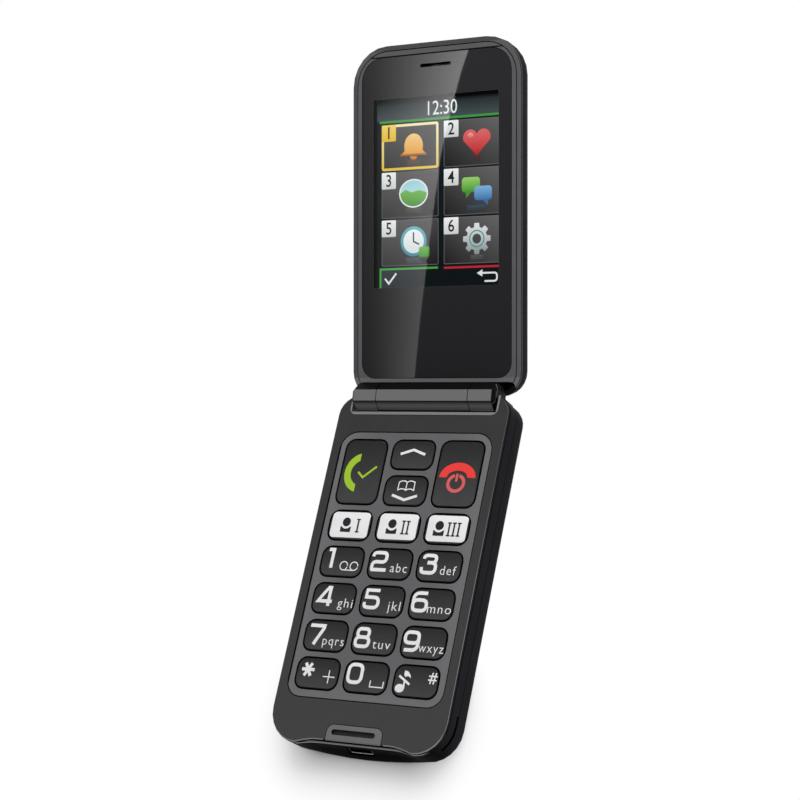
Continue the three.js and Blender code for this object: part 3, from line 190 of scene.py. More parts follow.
def up_the_key(tree):
    """A mask that goes from 0 at a key's lower edge to 1 at its upper edge, in every row."""
    lowest = LOWEST_KEY_EDGE * MM
    in_row = maths(tree, "WRAP", axis_of(tree, "Y"), lowest + ROW_PITCH * MM, lowest)
    return ramp(tree, in_row, lowest, lowest + KEY_HEIGHT * MM)


def in_zones(tree, colour, zones):
    """Turns a colour to each zone's tone where the zone's mask is 1."""
    for mask, tone in zones:
        colour = mix_colours(tree, mask(tree), colour, linear(tone))
    return colour


def moulding(name, light, dark, rough, cloud_mm, grain_mm, depth_mm, level=0.5, zones=()):
    """A moulded or sprayed plastic: clouded colour, uneven gloss and the fine grain of its tool or paint.

    rough is the roughness from its lowest to its highest, depth_mm the grain's depth and level the specular
    level. Each zone is a mask and the colour that the piece turns to there.
    """
    material, tree = new_material(name)
    cloud = spread(tree, grain(tree, cloud_mm), 0, 1)
    fine = grain(tree, grain_mm, detail=3)
    colour = in_zones(tree, two_tones(tree, cloud, dark, light), zones)
    shader = add_node(tree, "ShaderNodeBsdfPrincipled", {
        "Base Color": colour,
        "Roughness": spread(tree, grain(tree, grain_mm * 4), *rough),
        "Normal": bump(tree, fine, depth_mm),
        "Specular IOR Level": level,
        "IOR": 1.5,
    })
    return finish(material, shader)


# Places on the keypad half, in millimetres
PLATE_EDGE = 11.0  # foot of the face plate's bevelled edge
PLATE_TOP = 11.3
# The outer edge is outside the pocket's walls, and to either side of the tab
outer_edge = all_of(any_of(band("side X", 25.2, 25.5), band("Y", -40, -41)), band("side X", 9.2, 9.6))
lower_end = band("Y", -44, -47)
bevel_middle = band("Z", PLATE_EDGE + 0.12, PLATE_EDGE + 0.16)
plate_wall = any_of(
    band("Z", PLATE_EDGE + 0.03, PLATE_EDGE - 0.03),
    all_of(outer_edge, band("Y", -47, -44), band("Z", PLATE_EDGE + 0.16, PLATE_EDGE + 0.12)),
)
plate_bevel = all_of(
    outer_edge, band("Z", PLATE_TOP, PLATE_TOP - 0.04),
    any_of(bevel_middle, all_of(band("Z", PLATE_EDGE, PLATE_EDGE + 0.05), lower_end)),
)
below_top = band("Z", PLATE_TOP - 0.02, PLATE_TOP - 0.06)
pocket_walls = all_of(below_top, band("side X", 25.2, 25.0), band("Y", -39.0, -38.8), band("Y", 40.2, 40.0))
tab_notch_walls = all_of(below_top, band("side X", 9.2, 9.1), band("Y", -44.0, -44.2))

# ABS from a spark-eroded tool, sprayed soft anthracite: a fine even grain and a low sheen. With painted light
# and shade: the face is a shade lighter towards the lower end, the bevelled edge carries a painted highlight,
# brightest towards the lower end, and the upright edge below it and the walls of the pocket and the tab's
# notch are painted near black as shade.
anthracite_abs = moulding("anthracite_sprayed_abs", "3c3c3d", "383839", (0.42, 0.5), 9, 0.35, 0.004, 0.1, [
    (band("Y", 50, -50), "464647"),
    (plate_wall, "0e0e0f"),
    (plate_bevel, "545456"),
    (all_of(plate_bevel, band("Y", 28, -8)), "78787a"),
    (all_of(plate_wall, lower_end), "0c0c0d"),
    (all_of(plate_bevel, lower_end), "949496"),
    (any_of(pocket_walls, tab_notch_walls), "0b0b0c"),
])
# The same ABS in a lighter satin grey paint, a shade lighter towards its sides and its foot. The walls of the
# key holes and a thin strip along its left edge are painted near black, as shade.
grey_panel_paint = moulding("satin_grey_painted_abs", "676769", "626264", (0.4, 0.48), 12, 0.3, 0.003, zones=[
    (any_of(band("side X", 14, 23), band("Y", -30, -37)), "707072"),
    (any_of(band("Z", 11.22, 11.14), band("X", -23.95, -24.05)), "0c0c0d"),
])
# The tab: the same paint, with painted shade: near black on the walls of its slot and on its upright lower
# edge, darker on the slot's floor. Its lower bevel carries a painted highlight.
grey_tab_paint = moulding("satin_grey_tab_paint", "717173", "6d6d6f", (0.4, 0.48), 12, 0.3, 0.003, zones=[
    (all_of(band("Z", 11.28, 11.24), band("Y", -48.6, -48.5)), "0b0b0c"),
    (all_of(band("Y", -48.68, -48.72), band("Z", PLATE_EDGE, PLATE_EDGE + 0.05)), "7c7c7e"),
    (band("Z", PLATE_EDGE, PLATE_EDGE - 0.05), "0b0b0c"),
    (all_of(band("Z", 10.62, 10.55), band("Y", -48.8, -48.7)), "303032"),
])
# The hinge: black ABS with satin grey paint on its upward facet and on the cradle's lip. The facet in front
# is painted dark at its top and lighter towards its foot, as painted shade and reflection. The black above
# the grey facet and on the barrel's ends is partly painted shade, and the left arm's inner wall carries
# painted light.
top_facet = all_of(band("Y", 51.3, 51.22), band("Y", 48.06, 48.16), band("Z", 12.1, 12.2))
front_facet = all_of(band("Y", 48.16, 48.06), band("Y", 46.2, 46.3), band("Z", 9.5, 9.6))
barrel_ends = any_of(band("X", 21.45, 21.6), band("X", -22.85, -23.0))
left_arm_wall = all_of(band("X", -22.8, -22.9), band("Z", 11.3, 11.2))
cradle_trim = all_of(
    band("Z", 11.2, 11.28), band("Z", 11.36, 11.32),
    any_of(band("Y", 45.3, 45.2), band("X", 21.6, 21.7), band("X", -23.0, -23.1)),
)
hinge_paint = moulding("satin_grey_hinge_paint", "121213", "0f0f10", (0.34, 0.42), 8, 0.3, 0.003, 0.05, [
    (top_facet, "737374"),
    (front_facet, "181819"),
    (all_of(front_facet, band("Z", 12.2, 10.9)), "7a7a7c"),
    (barrel_ends, "121213"),
    (left_arm_wall, "565658"),
    (cradle_trim, "7e7e80"),
])
# The lid's ring: satin grey paint, with painted light and shade: a shade darker at the left and at the top,
# lighter at its foot, dark in the gap by the lens's upper edge and black down its outer wall.
ring_foot = band("lid Y", 5.8, 5.5)
ring_top = band("lid Y", 98.9, 99.1)
lens_gap = all_of(band("side X", 21.5, 21.0), band("lid Y", 97.0, 97.1), band("lid Y", 97.5, 97.4))
grey_ring_paint = moulding("satin_grey_ring_paint", "646466", "606062", (0.36, 0.44), 14, 0.3, 0.002, 0.2, [
    (band("X", -26.1, -26.2), "525254"),
    (ring_foot, "747476"),
    (ring_top, "505052"),
    (lens_gap, "161617"),
    (band("lid Z", -2.98, -3.03), "040405"),
])


def key_lacquer(name, upward):
    """Dark ABS with a satin lacquer that keeps the legends from wearing.

    A cap is painted with light and shade, from a lighter lower edge to a darker upper edge, and black down
    its walls as painted shade.
    """
    return moulding(name, "49494a", "454546", (0.36, 0.44), 6, 0.28, 0.003, zones=[
        (upward, "2c2c2d"), (band("Z", 11.34, 11.28), "0a0a0b"),
    ])


row_key_lacquer = key_lacquer("lacquered_key_abs", up_the_key)
TALL_KEY_FOOT, TALL_KEY_TOP = 17.46, 36.5
tall_key_lacquer = key_lacquer("lacquered_tall_key_abs", band("Y", TALL_KEY_FOOT, TALL_KEY_TOP))


def lacquered_shell(name, zones=()):
    """Black ABS with a soft lacquer that mirrors little, its lower end painted black as shade, dark in the
    seam.
    """
    cover_seam = all_of(band("Z", 6.3, 6.34), band("Z", 6.7, 6.66), band("Y", 50.4, 50.3))
    return moulding(name, "232226", "1f1e22", (0.35, 0.42), 16, 0.6, 0.002, 0.004, [
        (band("Y", -46, -49), "030304"), (cover_seam, "0d0d0f"), *zones,
    ])


black_shell = lacquered_shell("lacquered_black_abs")
# The rear housing: the same, painted near black along the top of its wall under the rim, as shade in the
# seam.
# At the lower end the rim over the socket and the top of the end wall carry a painted highlight, and the
# ledge behind the rim is in painted shade.
rim_painted_highlight = all_of(lower_end, band("Z", 10.44, 10.48))
ledge_shade = all_of(
    lower_end, band("Z", 10.45, 10.48), any_of(band("Y", -49.38, -49.3), band("side X", 14, 16)),
)
wall_rim = all_of(lower_end, band("side X", 23, 20), band("Z", 9.7, 9.8), band("Z", 10.48, 10.46))
housing_shell = lacquered_shell("lacquered_black_housing_abs", [
    (band("Z", 10.3, 10.4), "0a0a0b"),
    (rim_painted_highlight, "747476"),
    (ledge_shade, "0c0c0d"),
    (wall_rim, "969698"),
])
# The surround under the lens: black polycarbonate from a blasted tool, quite dull.
dull_black = moulding("blasted_black_polycarbonate", "080809", "060607", (0.6, 0.7), 5, 0.3, 0.005, level=0.0)
# White film, printed and bonded into the memory keys.
white_film = moulding("white_key_film", "f3f2f3", "edecee", (0.32, 0.4), 7, 0.4, 0.002)
# Silicone rubber of the keypad mat: dull, with the bloom of fresh rubber.
silicone = moulding("silicone_rubber", "1b1b1c", "151516", (0.75, 0.9), 3, 0.3, 0.008)
# Solder mask over glass-fibre board: green, glossy, with the weave just showing.
solder_mask = moulding("green_solder_mask", "1f6b41", "17532f", (0.25, 0.35), 1.2, 0.5, 0.01)
# Battery can in its shrink sleeve.
battery_sleeve = moulding("grey_battery_sleeve", "90949a", "82868c", (0.3, 0.42), 10, 0.8, 0.01)


SCRATCH = 0.15  # width of the steel's drawing marks
STRETCH = 0.08  # the marks' width as a share of their length


def pressed_steel(name, zones=()):
    """Nickel-plated pressed steel: bright metal with fine drawing marks along the sheet."""
    material, tree = new_material(name)
    drawn = add_node(tree, "ShaderNodeMapping", {"Vector": surface_point(tree), "Scale": (STRETCH, 1, 1)})
    marks = grain(tree, SCRATCH, detail=4.0, point=drawn.outputs["Vector"])
    shader = add_node(tree, "ShaderNodeBsdfPrincipled", {
        "Base Color": in_zones(tree, two_tones(tree, marks, "a9abad", "c4c6c8"), zones),
        "Metallic": 1.0,
        "Roughness": spread(tree, marks, 0.25, 0.4),
        "Normal": bump(tree, marks, 0.004),
    })
    return finish(material, shader)


nickel_steel = pressed_steel("nickel_plated_steel")
# The socket's shell: the same steel, in deep shade inside, so that little but its lower lip shows.
socket_steel = pressed_steel("shaded_socket_steel", [
    (any_of(band("Z", 5.2, 5.3), band("Y", -50.25, -50.1), band("side X", 3.3, 3.36)), "030303"),
])


def printed_opening(left, low, right, high, fade=0.02):
    """A box on the lid that the print leaves clear."""
    return all_of(
        band("X", left, left + fade), band("X", right, right - fade),
        band("lid Y", low, low + fade), band("lid Y", high, high - fade),
    )


def lens_material(left, low, right, high):
    """Clear acrylic, printed dark grey on the back except for the window: a mirror-like dark, then glass."""
    material, tree = new_material("printed_acrylic_lens")
    # On the back the print keeps clear of the window, so that its edge isn't seen through the thickness
    clear = 0.7
    back = band("lid Z", LENS_FRONT - 0.3, LENS_FRONT - 0.4)
    window = any_of(
        printed_opening(left, low, right, high),
        all_of(back, printed_opening(-right - clear, low - clear, right + clear, high + clear)),
    )
    # The print is a shade lighter towards the lid's top: painted light.
    print_tone = two_tones(tree, band("lid Y", 5, 95)(tree), "28282a", "313133")
    shader = add_node(tree, "ShaderNodeBsdfPrincipled", {
        "Base Color": in_zones(tree, print_tone, [(window, "f2f4f4")]),
        "Transmission Weight": window(tree),
        "Roughness": 0.015,
        "IOR": 1.49,
    })
    return finish(material, shader)


lens_acrylic = lens_material(left=-20.5, low=31.3, right=20.25, high=85.3)


def ink(name, colour):
    """Pad-printed ink: flat colour and a soft gloss, broken a little at the scale of its screen."""
    return moulding(name, colour, colour, (0.4, 0.5), 4, 0.2, 0.001)


white_ink = ink("white_legend_ink", "ececec")
dark_ink = ink("dark_legend_ink", "2c2c2e")
green_ink = ink("green_legend_ink", "a2ca2c")
red_ink = ink("red_legend_ink", "f23e38")
pale_red_ink = ink("pale_red_legend_ink", "df605f")


def lit_display():
    """The display's own light, read from the colours painted on the drawing's corners."""
    material, tree = new_material("lit_display_pixels")
    colour = add_node(tree, "ShaderNodeAttribute", attribute_name="shade").outputs["Color"]
    shader = add_node(tree, "ShaderNodeBsdfPrincipled", {
        "Base Color": linear("020203"), "Roughness": 0.5, "Specular IOR Level": 0.0,
        "Emission Color": colour, "Emission Strength": 1.0,
    })
    return finish(material, shader)


display_pixels = lit_display()
lcd_glass = moulding("dark_lcd_glass", "050607", "040506", (0.3, 0.36), 20, 1.0, 0.001, level=0.05)

# What each node is made of. The other caps are row_key_lacquer, and the small pieces inside nickel_steel.
FINISHES = {
    "base_front_casing": anthracite_abs,
    "keypad_panel": grey_panel_paint,
    "end_tab": grey_tab_paint,
    "hinge_cradle": hinge_paint,
    "hinge_barrel": hinge_paint,
    "keypad_membrane": silicone,
    "main_board": solder_mask,
    "lid_board": solder_mask,
    "rear_housing": housing_shell,
    "battery_cover": black_shell,
    "lid_rear_cover": black_shell,
    "battery": battery_sleeve,
    "loudspeaker": dull_black,
    "lid_front_casing": grey_ring_paint,
    "display_lens": lens_acrylic,
    "display_surround": dull_black,
    "display_module": lcd_glass,
    "key_call": tall_key_lacquer,
    "key_end": tall_key_lacquer,
    "charging_socket": socket_steel,
}


def soften_shading():
    """A tree that welds a mesh's loose triangles and shades it smooth, except over its real edges."""
    tree = bpy.data.node_groups.new("soften_shading", "GeometryNodeTree")
    tree.interface.new_socket("Geometry", in_out="INPUT", socket_type="NodeSocketGeometry")
    angle = tree.interface.new_socket("Sharpest smooth angle", in_out="INPUT", socket_type="NodeSocketFloat")
    tree.interface.new_socket("Geometry", in_out="OUTPUT", socket_type="NodeSocketGeometry")
    enter = add_node(tree, "NodeGroupInput")
    weld = add_node(tree, "GeometryNodeMergeByDistance", {
        "Geometry": enter.outputs["Geometry"], "Distance": 0.001 * MM,
    })
    smooth = add_node(tree, "GeometryNodeSetShadeSmooth", {
        "Geometry": weld.outputs["Geometry"], "Shade Smooth": True,
    })
    edge = add_node(tree, "GeometryNodeInputMeshEdgeAngle").outputs["Unsigned Angle"]
    flat = add_node(tree, "FunctionNodeCompare", {"A": edge, "B": enter.outputs[1]}, operation="LESS_EQUAL")
    edges = add_node(tree, "GeometryNodeSetShadeSmooth", {
        "Geometry": smooth.outputs["Geometry"], "Shade Smooth": flat.outputs["Result"],
    }, domain="EDGE")
    add_node(tree, "NodeGroupOutput", {"Geometry": edges.outputs["Geometry"]})
    return tree, angle.identifier


shading_tree, angle_input = soften_shading()
SMOOTH_ANGLE = 32  # degrees
SMOOTH_ANGLES = {"lid_front_casing": 20}

for name, node in nodes.items():
    material = FINISHES.get(name) or (row_key_lacquer if name.startswith("key_") else nickel_steel)
    node.data.materials.clear()
    node.data.materials.append(material)
    soften = node.modifiers.new("soften_shading", "NODES")
    soften.node_group = shading_tree
    soften[angle_input] = math.radians(SMOOTH_ANGLES.get(name, SMOOTH_ANGLE))
    weighted = node.modifiers.new("face_weighted_normals", "WEIGHTED_NORMAL")
    weighted.keep_sharp = True


# Flat drawing, in millimetres. A shape is a list of closed loops, the first its outline and the others its
# holes, until it is filled. Then it is its points and its faces.


def arc(cx, cy, rx, ry, start, end, steps):
    """Points along an ellipse, from one angle to another in degrees."""
    return [
        (cx + rx * math.cos(math.radians(start + (end - start) * i / steps)),
         cy + ry * math.sin(math.radians(start + (end - start) * i / steps)))
        for i in range(steps + 1)
    ]


def ellipse(cx, cy, rx, ry, steps):
    return arc(cx, cy, rx, ry, 0, 360, steps)[:-1]


def rounded_box(left, low, right, high, radius, steps=5):
    corners = [
        (right - radius, low + radius, -90), (right - radius, high - radius, 0),
        (left + radius, high - radius, 90), (left + radius, low + radius, 180),
    ]
    return [point for x, y, start in corners for point in arc(x, y, radius, radius, start, start + 90, steps)]


def rounded_path(points, radius, closed=False, steps=6):
    """A polyline whose corners are rounded by a quadratic bend that starts radius before each."""
    result = []
    count = len(points)
    for i, point in enumerate(points):
        if not closed and i in (0, count - 1):
            result.append(point)
            continue
        corner = Vector(point)
        before = Vector(points[i - 1]) - corner
        after = Vector(points[(i + 1) % count]) - corner
        start = corner + before.normalized() * min(radius, before.length / 2)
        end = corner + after.normalized() * min(radius, after.length / 2)
        for k in range(steps + 1):
            t = k / steps
            bent = start * (1 - t) ** 2 + corner * 2 * t * (1 - t) + end * t**2
            result.append((bent.x, bent.y))
    return result


SHORTEST_MITRE = 0.35  # it keeps a sharp corner from growing a long point


def offset_side(points, distance, closed):
    """A line's points moved to its left by a distance, mitred at its corners."""
    side = []
    count = len(points)
    for i, point in enumerate(points):
        here = Vector(point)
        before = here - Vector(points[i - 1]) if closed or i else None
        after = Vector(points[(i + 1) % count]) - here if closed or i < count - 1 else None
        turns = [d.normalized() for d in (before, after) if d is not None and d.length > 1e-6]
        normals = [Vector((-d.y, d.x)) for d in turns]
        total = sum(normals, Vector((0, 0))).normalized()
        stretch = max(total.dot(normals[0]), SHORTEST_MITRE)
        side.append(tuple(here + total * distance / stretch))
    return side


def stroke(points, width, closed=False):
    """The loops of a line of one width."""
    left = offset_side(points, width / 2, closed)
    right = offset_side(points, -width / 2, closed)
    return [right, left] if closed else [left + right[::-1]]


def lettering(text, size, width_share=1.0, weight=0.0, align="LEFT", spacing=1.0):
    """Letters of the plain built-in sans as triangles: points and faces."""
    curve = bpy.data.curves.new("lettering", "FONT")
    curve.body = text
    curve.size = size
    curve.offset = weight
    curve.align_x = align
    curve.space_character = spacing
    curve.resolution_u = 3
    holder = new_object("lettering", curve)
    mesh = bpy.data.meshes.new_from_object(holder)
    mesh.calc_loop_triangles()
    points = [(v.co.x * width_share, v.co.y) for v in mesh.vertices]
    faces = [tuple(t.vertices) for t in mesh.loop_triangles]
    bpy.data.objects.remove(holder)
    bpy.data.curves.remove(curve)
    bpy.data.meshes.remove(mesh)
    return points, faces


def filled(loops):
    """Triangles that fill a shape."""
    points = [point for loop in loops for point in loop]
    faces = tessellate_polygon([[Vector((x, y, 0)) for x, y in loop] for loop in loops])
    return points, faces


class Drawing:
    """A flat drawing round a centre, made of filled shapes, each with its layer and its colour."""

    def __init__(self, x=0.0, y=0.0):
        self.x, self.y = x, y
        self.points, self.faces, self.shades = [], [], []

    def add(self, shape, layer=0, colour="ffffff", low_colour=None, dx=0.0, dy=0.0):
        """Adds a filled shape, coloured from its upper to its lower edge."""
        points, faces = shape
        across, up = self.x + dx, self.y + dy
        points = [(x + across, y + up) for x, y in points]
        low = min(y for _, y in points)
        span = max(max(y for _, y in points) - low, 1e-6)
        top_shade, low_shade = linear(colour), linear(low_colour or colour)
        first = len(self.points)
        for x, y in points:
            share = (y - low) / span
            self.points.append((x, y, layer))
            self.shades.append([a * share + b * (1 - share) for a, b in zip(top_shade, low_shade)])
        self.faces += [tuple(first + i for i in face) for face in faces]

    def stack(self, shapes, layer=0, dx=0.0, dy=0.0):
        """Adds filled shapes, each a layer above the one before."""
        for i, shape in enumerate(shapes):
            self.add(shape, layer + i, dx=dx, dy=dy)

    def patch(self, left, low, right, top, layer, rows, steps=6):
        """A filled box shaded smoothly between rows of colours, each row from left to right."""
        tones = [[linear(tone) for tone in row] for row in rows]
        first = len(self.points)
        for i in range(steps + 1):
            down = i / steps * (len(rows) - 1)
            row = min(int(down), len(rows) - 2)
            for j in range(steps + 1):
                across = j / steps
                ends = [[a * (1 - across) + b * across for a, b in zip(*tones[row + k])] for k in (0, 1)]
                self.points.append((left + (right - left) * across, top - (top - low) * i / steps, layer))
                self.shades.append([a + (b - a) * (down - row) for a, b in zip(*ends)])
        for i in range(steps):
            for j in range(steps):
                corner = first + i * (steps + 1) + j
                self.faces.append((corner, corner + 1, corner + steps + 2, corner + steps + 1))

    def build(self, name, material, place):
        """A mesh whose faces point up, put in place by a function that moves its points."""
        mesh = bpy.data.meshes.new(name)
        mesh.from_pydata([Vector(p) for p in self.points], [], self.faces)
        shade = mesh.color_attributes.new("shade", "FLOAT_COLOR", "POINT")
        for i, value in enumerate(self.shades):
            shade.data[i].color = value
        turned = bmesh.new()
        turned.from_mesh(mesh)
        for face in turned.faces:
            face.normal_update()
            if face.normal.z < 0:
                face.normal_flip()
        place(turned)
        turned.to_mesh(mesh)
        turned.free()
        mesh.materials.append(material)
        return new_object(name, mesh)


# Key legends

INK = 0.03  # how far a legend stands out of the key that carries it
FILM = 0.06  # how far a memory key's film stands out of the key
LAYER_STEP = 0.004  # how far one layer of a legend stands out of the one below
CROWN_INSET = 2.4  # from the cap's edge to the flat of its crown
GRID = 0.7  # spacing of the cuts that let a legend follow the crown
EDGE_CUTS = (0.45, 0.55, 0.65, 0.75, 0.85, 0.95)  # closer cuts, for the rounding of the cap's edge


class KeyTop:
    """The top of a key, for what is printed or laid on it."""

    def __init__(self, name):
        self.name = name
        low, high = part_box(name)
        self.left, self.right = low[0] / MM, high[0] / MM
        self.low, self.high = low[1] / MM, high[1] / MM
        self.x, self.y = (self.left + self.right) / 2, (self.low + self.high) / 2
        mesh = nodes[name].data
        self.tree = BVHTree.FromPolygons([v.co for v in mesh.vertices], [p.vertices for p in mesh.polygons])

    def lay(self, proud):
        """Cuts a drawing along the crown's edges and a fine grid, and drops it on the key."""
        def place(drawn):
            cuts = [
                (self.left + CROWN_INSET, 0), (self.right - CROWN_INSET, 0),
                (self.low + CROWN_INSET, 1), (self.high - CROWN_INSET, 1),
            ]
            for axis, start, end in ((0, self.left, self.right), (1, self.low, self.high)):
                count = round((end - start) / GRID)
                cuts += [(start + (end - start) * i / count, axis) for i in range(1, count)]
                cuts += [(side, axis) for inset in EDGE_CUTS for side in (start + inset, end - inset)]
            for at, axis in cuts:
                point, normal = [0, 0, 0], [0, 0, 0]
                point[axis], normal[axis] = at, 1
                parts = drawn.verts[:] + drawn.edges[:] + drawn.faces[:]
                bmesh.ops.bisect_plane(drawn, geom=parts, plane_co=point, plane_no=normal)
            for vert in drawn.verts:
                layer = vert.co.z
                above = Vector((vert.co.x * MM, vert.co.y * MM, 1))
                hit = self.tree.ray_cast(above, Vector((0, 0, -1)))[0]
                vert.co = hit + Vector((0, 0, (proud + layer * LAYER_STEP) * MM))
        return place


DIGIT = 1.0  # stroke width of the large digits
FINE = 0.3  # stroke width of the small marks


def strokes(*lines):
    """Filled strokes: each line is (points, width) or (points, width, True) when closed."""
    return [filled(stroke(*line)) for line in lines]


def digit_shapes():
    """The large digits, drawn on their centre lines in a field 4.25 wide and 4.9 high, centred."""
    w, h = 2.12, 2.45
    six_ring = [(w, 0.5), (-w, 0.5), (-w, -h), (w, -h)]
    shapes = {
        "1": [([(-1.55, h - 0.02), (0.05, h - 0.02), (0.05, -h - 0.45)], DIGIT)],
        "2": [(rounded_path(
            [(-w - 0.05, 1.3), (-w + 0.1, h), (w, h), (w, -0.2), (-w, -0.2), (-w, -h), (-w + 0.3, -h)], 1.25,
        ) + [(w + 0.4, -h)], DIGIT)],
        "3": [
            (rounded_path(
                [(-w + 0.3, 1.45), (-w + 0.4, h), (w - 0.2, h), (w - 0.2, 0.4), (-0.6, 0.4)], 1.2,
            ), DIGIT),
            (rounded_path([(-0.6, 0.4), (w, 0.4), (w, -h), (-w, -h), (-w - 0.1, -0.9)], 1.45), DIGIT),
        ],
        "4": [
            ([(1.2, -1.5), (-w, -1.5), (0.7, h), (1.3, h)], 0.95),
            ([(1.3, h + 0.45), (1.3, -h - 0.4)], DIGIT),
            ([(0.0, -1.5), (w + 0.25, -1.5)], DIGIT),
        ],
        "5": [
            ([(w - 0.05, h), (-w + 0.25, h), (-w + 0.15, 0.0)], 0.95),
            (rounded_path([(-w + 0.15, 0.45), (w, 0.45), (w, -h), (-w, -h), (-w - 0.1, -1.0)], 1.5), DIGIT),
        ],
        "6": [
            (rounded_path(six_ring, 1.5, closed=True), DIGIT, True),
            (rounded_path([(w - 0.2, h), (-w, h), (-w, -1.0)], 1.9), DIGIT),
        ],
        "7": [([(-w - 0.35, h), (w - 0.1, h), (w - 0.15, h - 0.7), (-0.55, -h - 0.45)], DIGIT)],
        "8": [
            (rounded_path(
                [(w - 0.35, 0.1), (-w + 0.35, 0.1), (-w + 0.35, h), (w - 0.35, h)], 1.15, closed=True,
            ), DIGIT, True),
            (rounded_path([(w, 0.1), (-w, 0.1), (-w, -h), (w, -h)], 1.4, closed=True), DIGIT, True),
        ],
        "0": [(rounded_path([(w, h), (-w, h), (-w, -h), (w, -h)], 1.7, closed=True), DIGIT, True)],
        "star": [(arc(0, 0.35, 2.05, 2.05, turn, turn + 180, 1), 0.9) for turn in (0, 60, 120)],
    }
    shapes["9"] = [([(-x, -y) for x, y in line[0]], *line[1:]) for line in shapes["6"]]
    return {name: strokes(*lines) for name, lines in shapes.items()}


digits = digit_shapes()
# Where each digit's centre lies from its key's centre, and where each group of letters starts and ends
DIGIT_PLACES = {
    "1": (-3.1, 0.9), "2": (-3.3, 0.62), "3": (-3.05, 0.5),
    "4": (-2.65, 0.55), "5": (-3.1, 0.49), "6": (-3.48, 0.49),
    "7": (-2.75, 0.2), "8": (-3.45, 0.2), "9": (-3.65, 0.2),
    "star": (-3.0, 0.52), "0": (-3.43, 0.83), "hash": (0, 0),
}
LETTERS = {
    "2": ("abc", 0.55, 5.75), "3": ("def", 0.7, 5.5),
    "4": ("ghi", 1.75, 6.4), "5": ("jkl", 2.25, 6.1), "6": ("mno", -0.85, 6.35),
    "7": ("pqrs", -0.4, 6.3), "8": ("tuv", 0.05, 5.55), "9": ("wxyz", -1.1, 6.4),
}
LETTER_SIZE = 3.7
LETTER_SPACING = 1.17
LETTER_WEIGHT = -0.02
BASELINES = (-2.3, -2.42, -2.6)  # of the letters in each row of keys
HASH_BAR = 0.38  # stroke width of the hash
# The small marks: two rings over a bar, a plus, a space and a hash, which has a note struck out beside it
MARKS = {
    "1": strokes(
        (arc(1.08, -1.2, 1.2, 1.2, 0, 345, 20), FINE), (arc(4.35, -1.2, 1.2, 1.2, 0, 345, 20), FINE),
        ([(1.08, -2.4), (4.35, -2.4)], FINE),
    ),
    "star": strokes(([(3.95, -2.55), (3.95, 1.1)], FINE), ([(2.1, -0.75), (5.8, -0.75)], FINE)),
    "0": strokes(([(1.8, -0.75), (1.8, -2.45), (5.8, -2.45), (5.8, -0.75)], FINE)),
    "hash": strokes(
        ([(4.4, -0.35), (4.85, 2.75)], HASH_BAR), ([(5.35, -0.35), (5.8, 2.75)], HASH_BAR),
        ([(3.8, 1.75), (6.3, 1.75)], HASH_BAR), ([(3.7, 0.7), (6.2, 0.7)], HASH_BAR),
    ),
}
# Head and stem lie below the bar that strikes the note out, and the flag above it
NOTE_FLAG = (
    (-3.75, 1.6), (-3.75, 2.75), (-2.75, 2.6), (-1.9, 1.75),
    (-1.5, 0.75), (-2.15, 1.2), (-2.9, 1.25), (-3.2, 0.95),
)
NOTE = [filled([ellipse(-4.45, -2.1, 1.45, 1.15, 18)]), filled([NOTE_FLAG])] + strokes(
    ([(-3.22, -2.0), (-3.3, -0.25)], 0.5), ([(-5.2, 1.25), (-1.6, -0.95)], 0.62),
)


def print_on(key, body, drawing, material, suffix="legend", proud=INK):
    """Lays a drawing on a key, to ride on the key's body."""
    piece = drawing.build(f"{key.name}_{suffix}", material, key.lay(proud))
    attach(piece, body)


def digit_key(label):
    key = KeyTop(f"key_{label}")
    drawing = Drawing(key.x, key.y)
    across, up = DIGIT_PLACES[label]
    drawing.stack(digits.get(label, []), dx=across, dy=up)
    if label in LETTERS:
        text, start, end = LETTERS[label]
        baseline = BASELINES[(int(label) - 1) // 3]
        points, faces = lettering(text, LETTER_SIZE, weight=LETTER_WEIGHT, spacing=LETTER_SPACING)
        left, right = min(x for x, _ in points), max(x for x, _ in points)
        points = [(start + (x - left) * (end - start) / (right - left), y) for x, y in points]
        drawing.add((points, faces), dy=baseline)
    drawing.stack(MARKS.get(label, []))
    if label == "hash":
        drawing.stack(NOTE)
    print_on(key, f"button_{label}", drawing, white_ink)


for label in DIGIT_PLACES:
    digit_key(label)


def call_keys():
    """The two tall keys: a green handset with a tick, and a red handset over the power mark."""
    key = KeyTop("key_call")
    drawing = Drawing(key.x, key.y)
    sector = arc(0, 0, 5.86, 5.86, 104.3, 255.7, 28) + arc(0, 0, 3.75, 3.75, 247.3, 112.7, 20)
    drawing.add(filled([sector]), dx=0.45, dy=-0.38)
    drawing.stack(strokes(([(-0.9, -0.2), (0.9, -1.75), (4.8, 1.5)], 0.62)), 1)
    print_on(key, "button_call", drawing, green_ink)

    key = KeyTop("key_end")
    drawing = Drawing(key.x, key.y)
    dome = arc(0, 0, 5.65, 4.3, 0, 180, 28) + arc(0, 0, 3.2, 2.0, 180, 0, 20)
    drawing.add(filled([dome]), dx=0.05, dy=-1.13)
    print_on(key, "button_end", drawing, red_ink)
    power = Drawing(key.x, key.y)
    ring = arc(0.05, -2.78, 2.42, 2.28, 107, 433, 30)
    power.stack(strokes((ring, 0.95), ([(0.05, 0.0), (0.05, -2.3)], 0.7)), 1)
    print_on(key, "button_end", power, pale_red_ink, suffix="power_mark")


ARROW = 0.75  # stroke width of the arrows
# The right leaf of the open book on the lower arrow key
LEAF = ((0, -1.3), (0, 1.0), (0.6, 1.4), (1.6, 1.45), (2.5, 1.1), (2.55, -1.25), (1.6, -0.9), (0.6, -0.95))


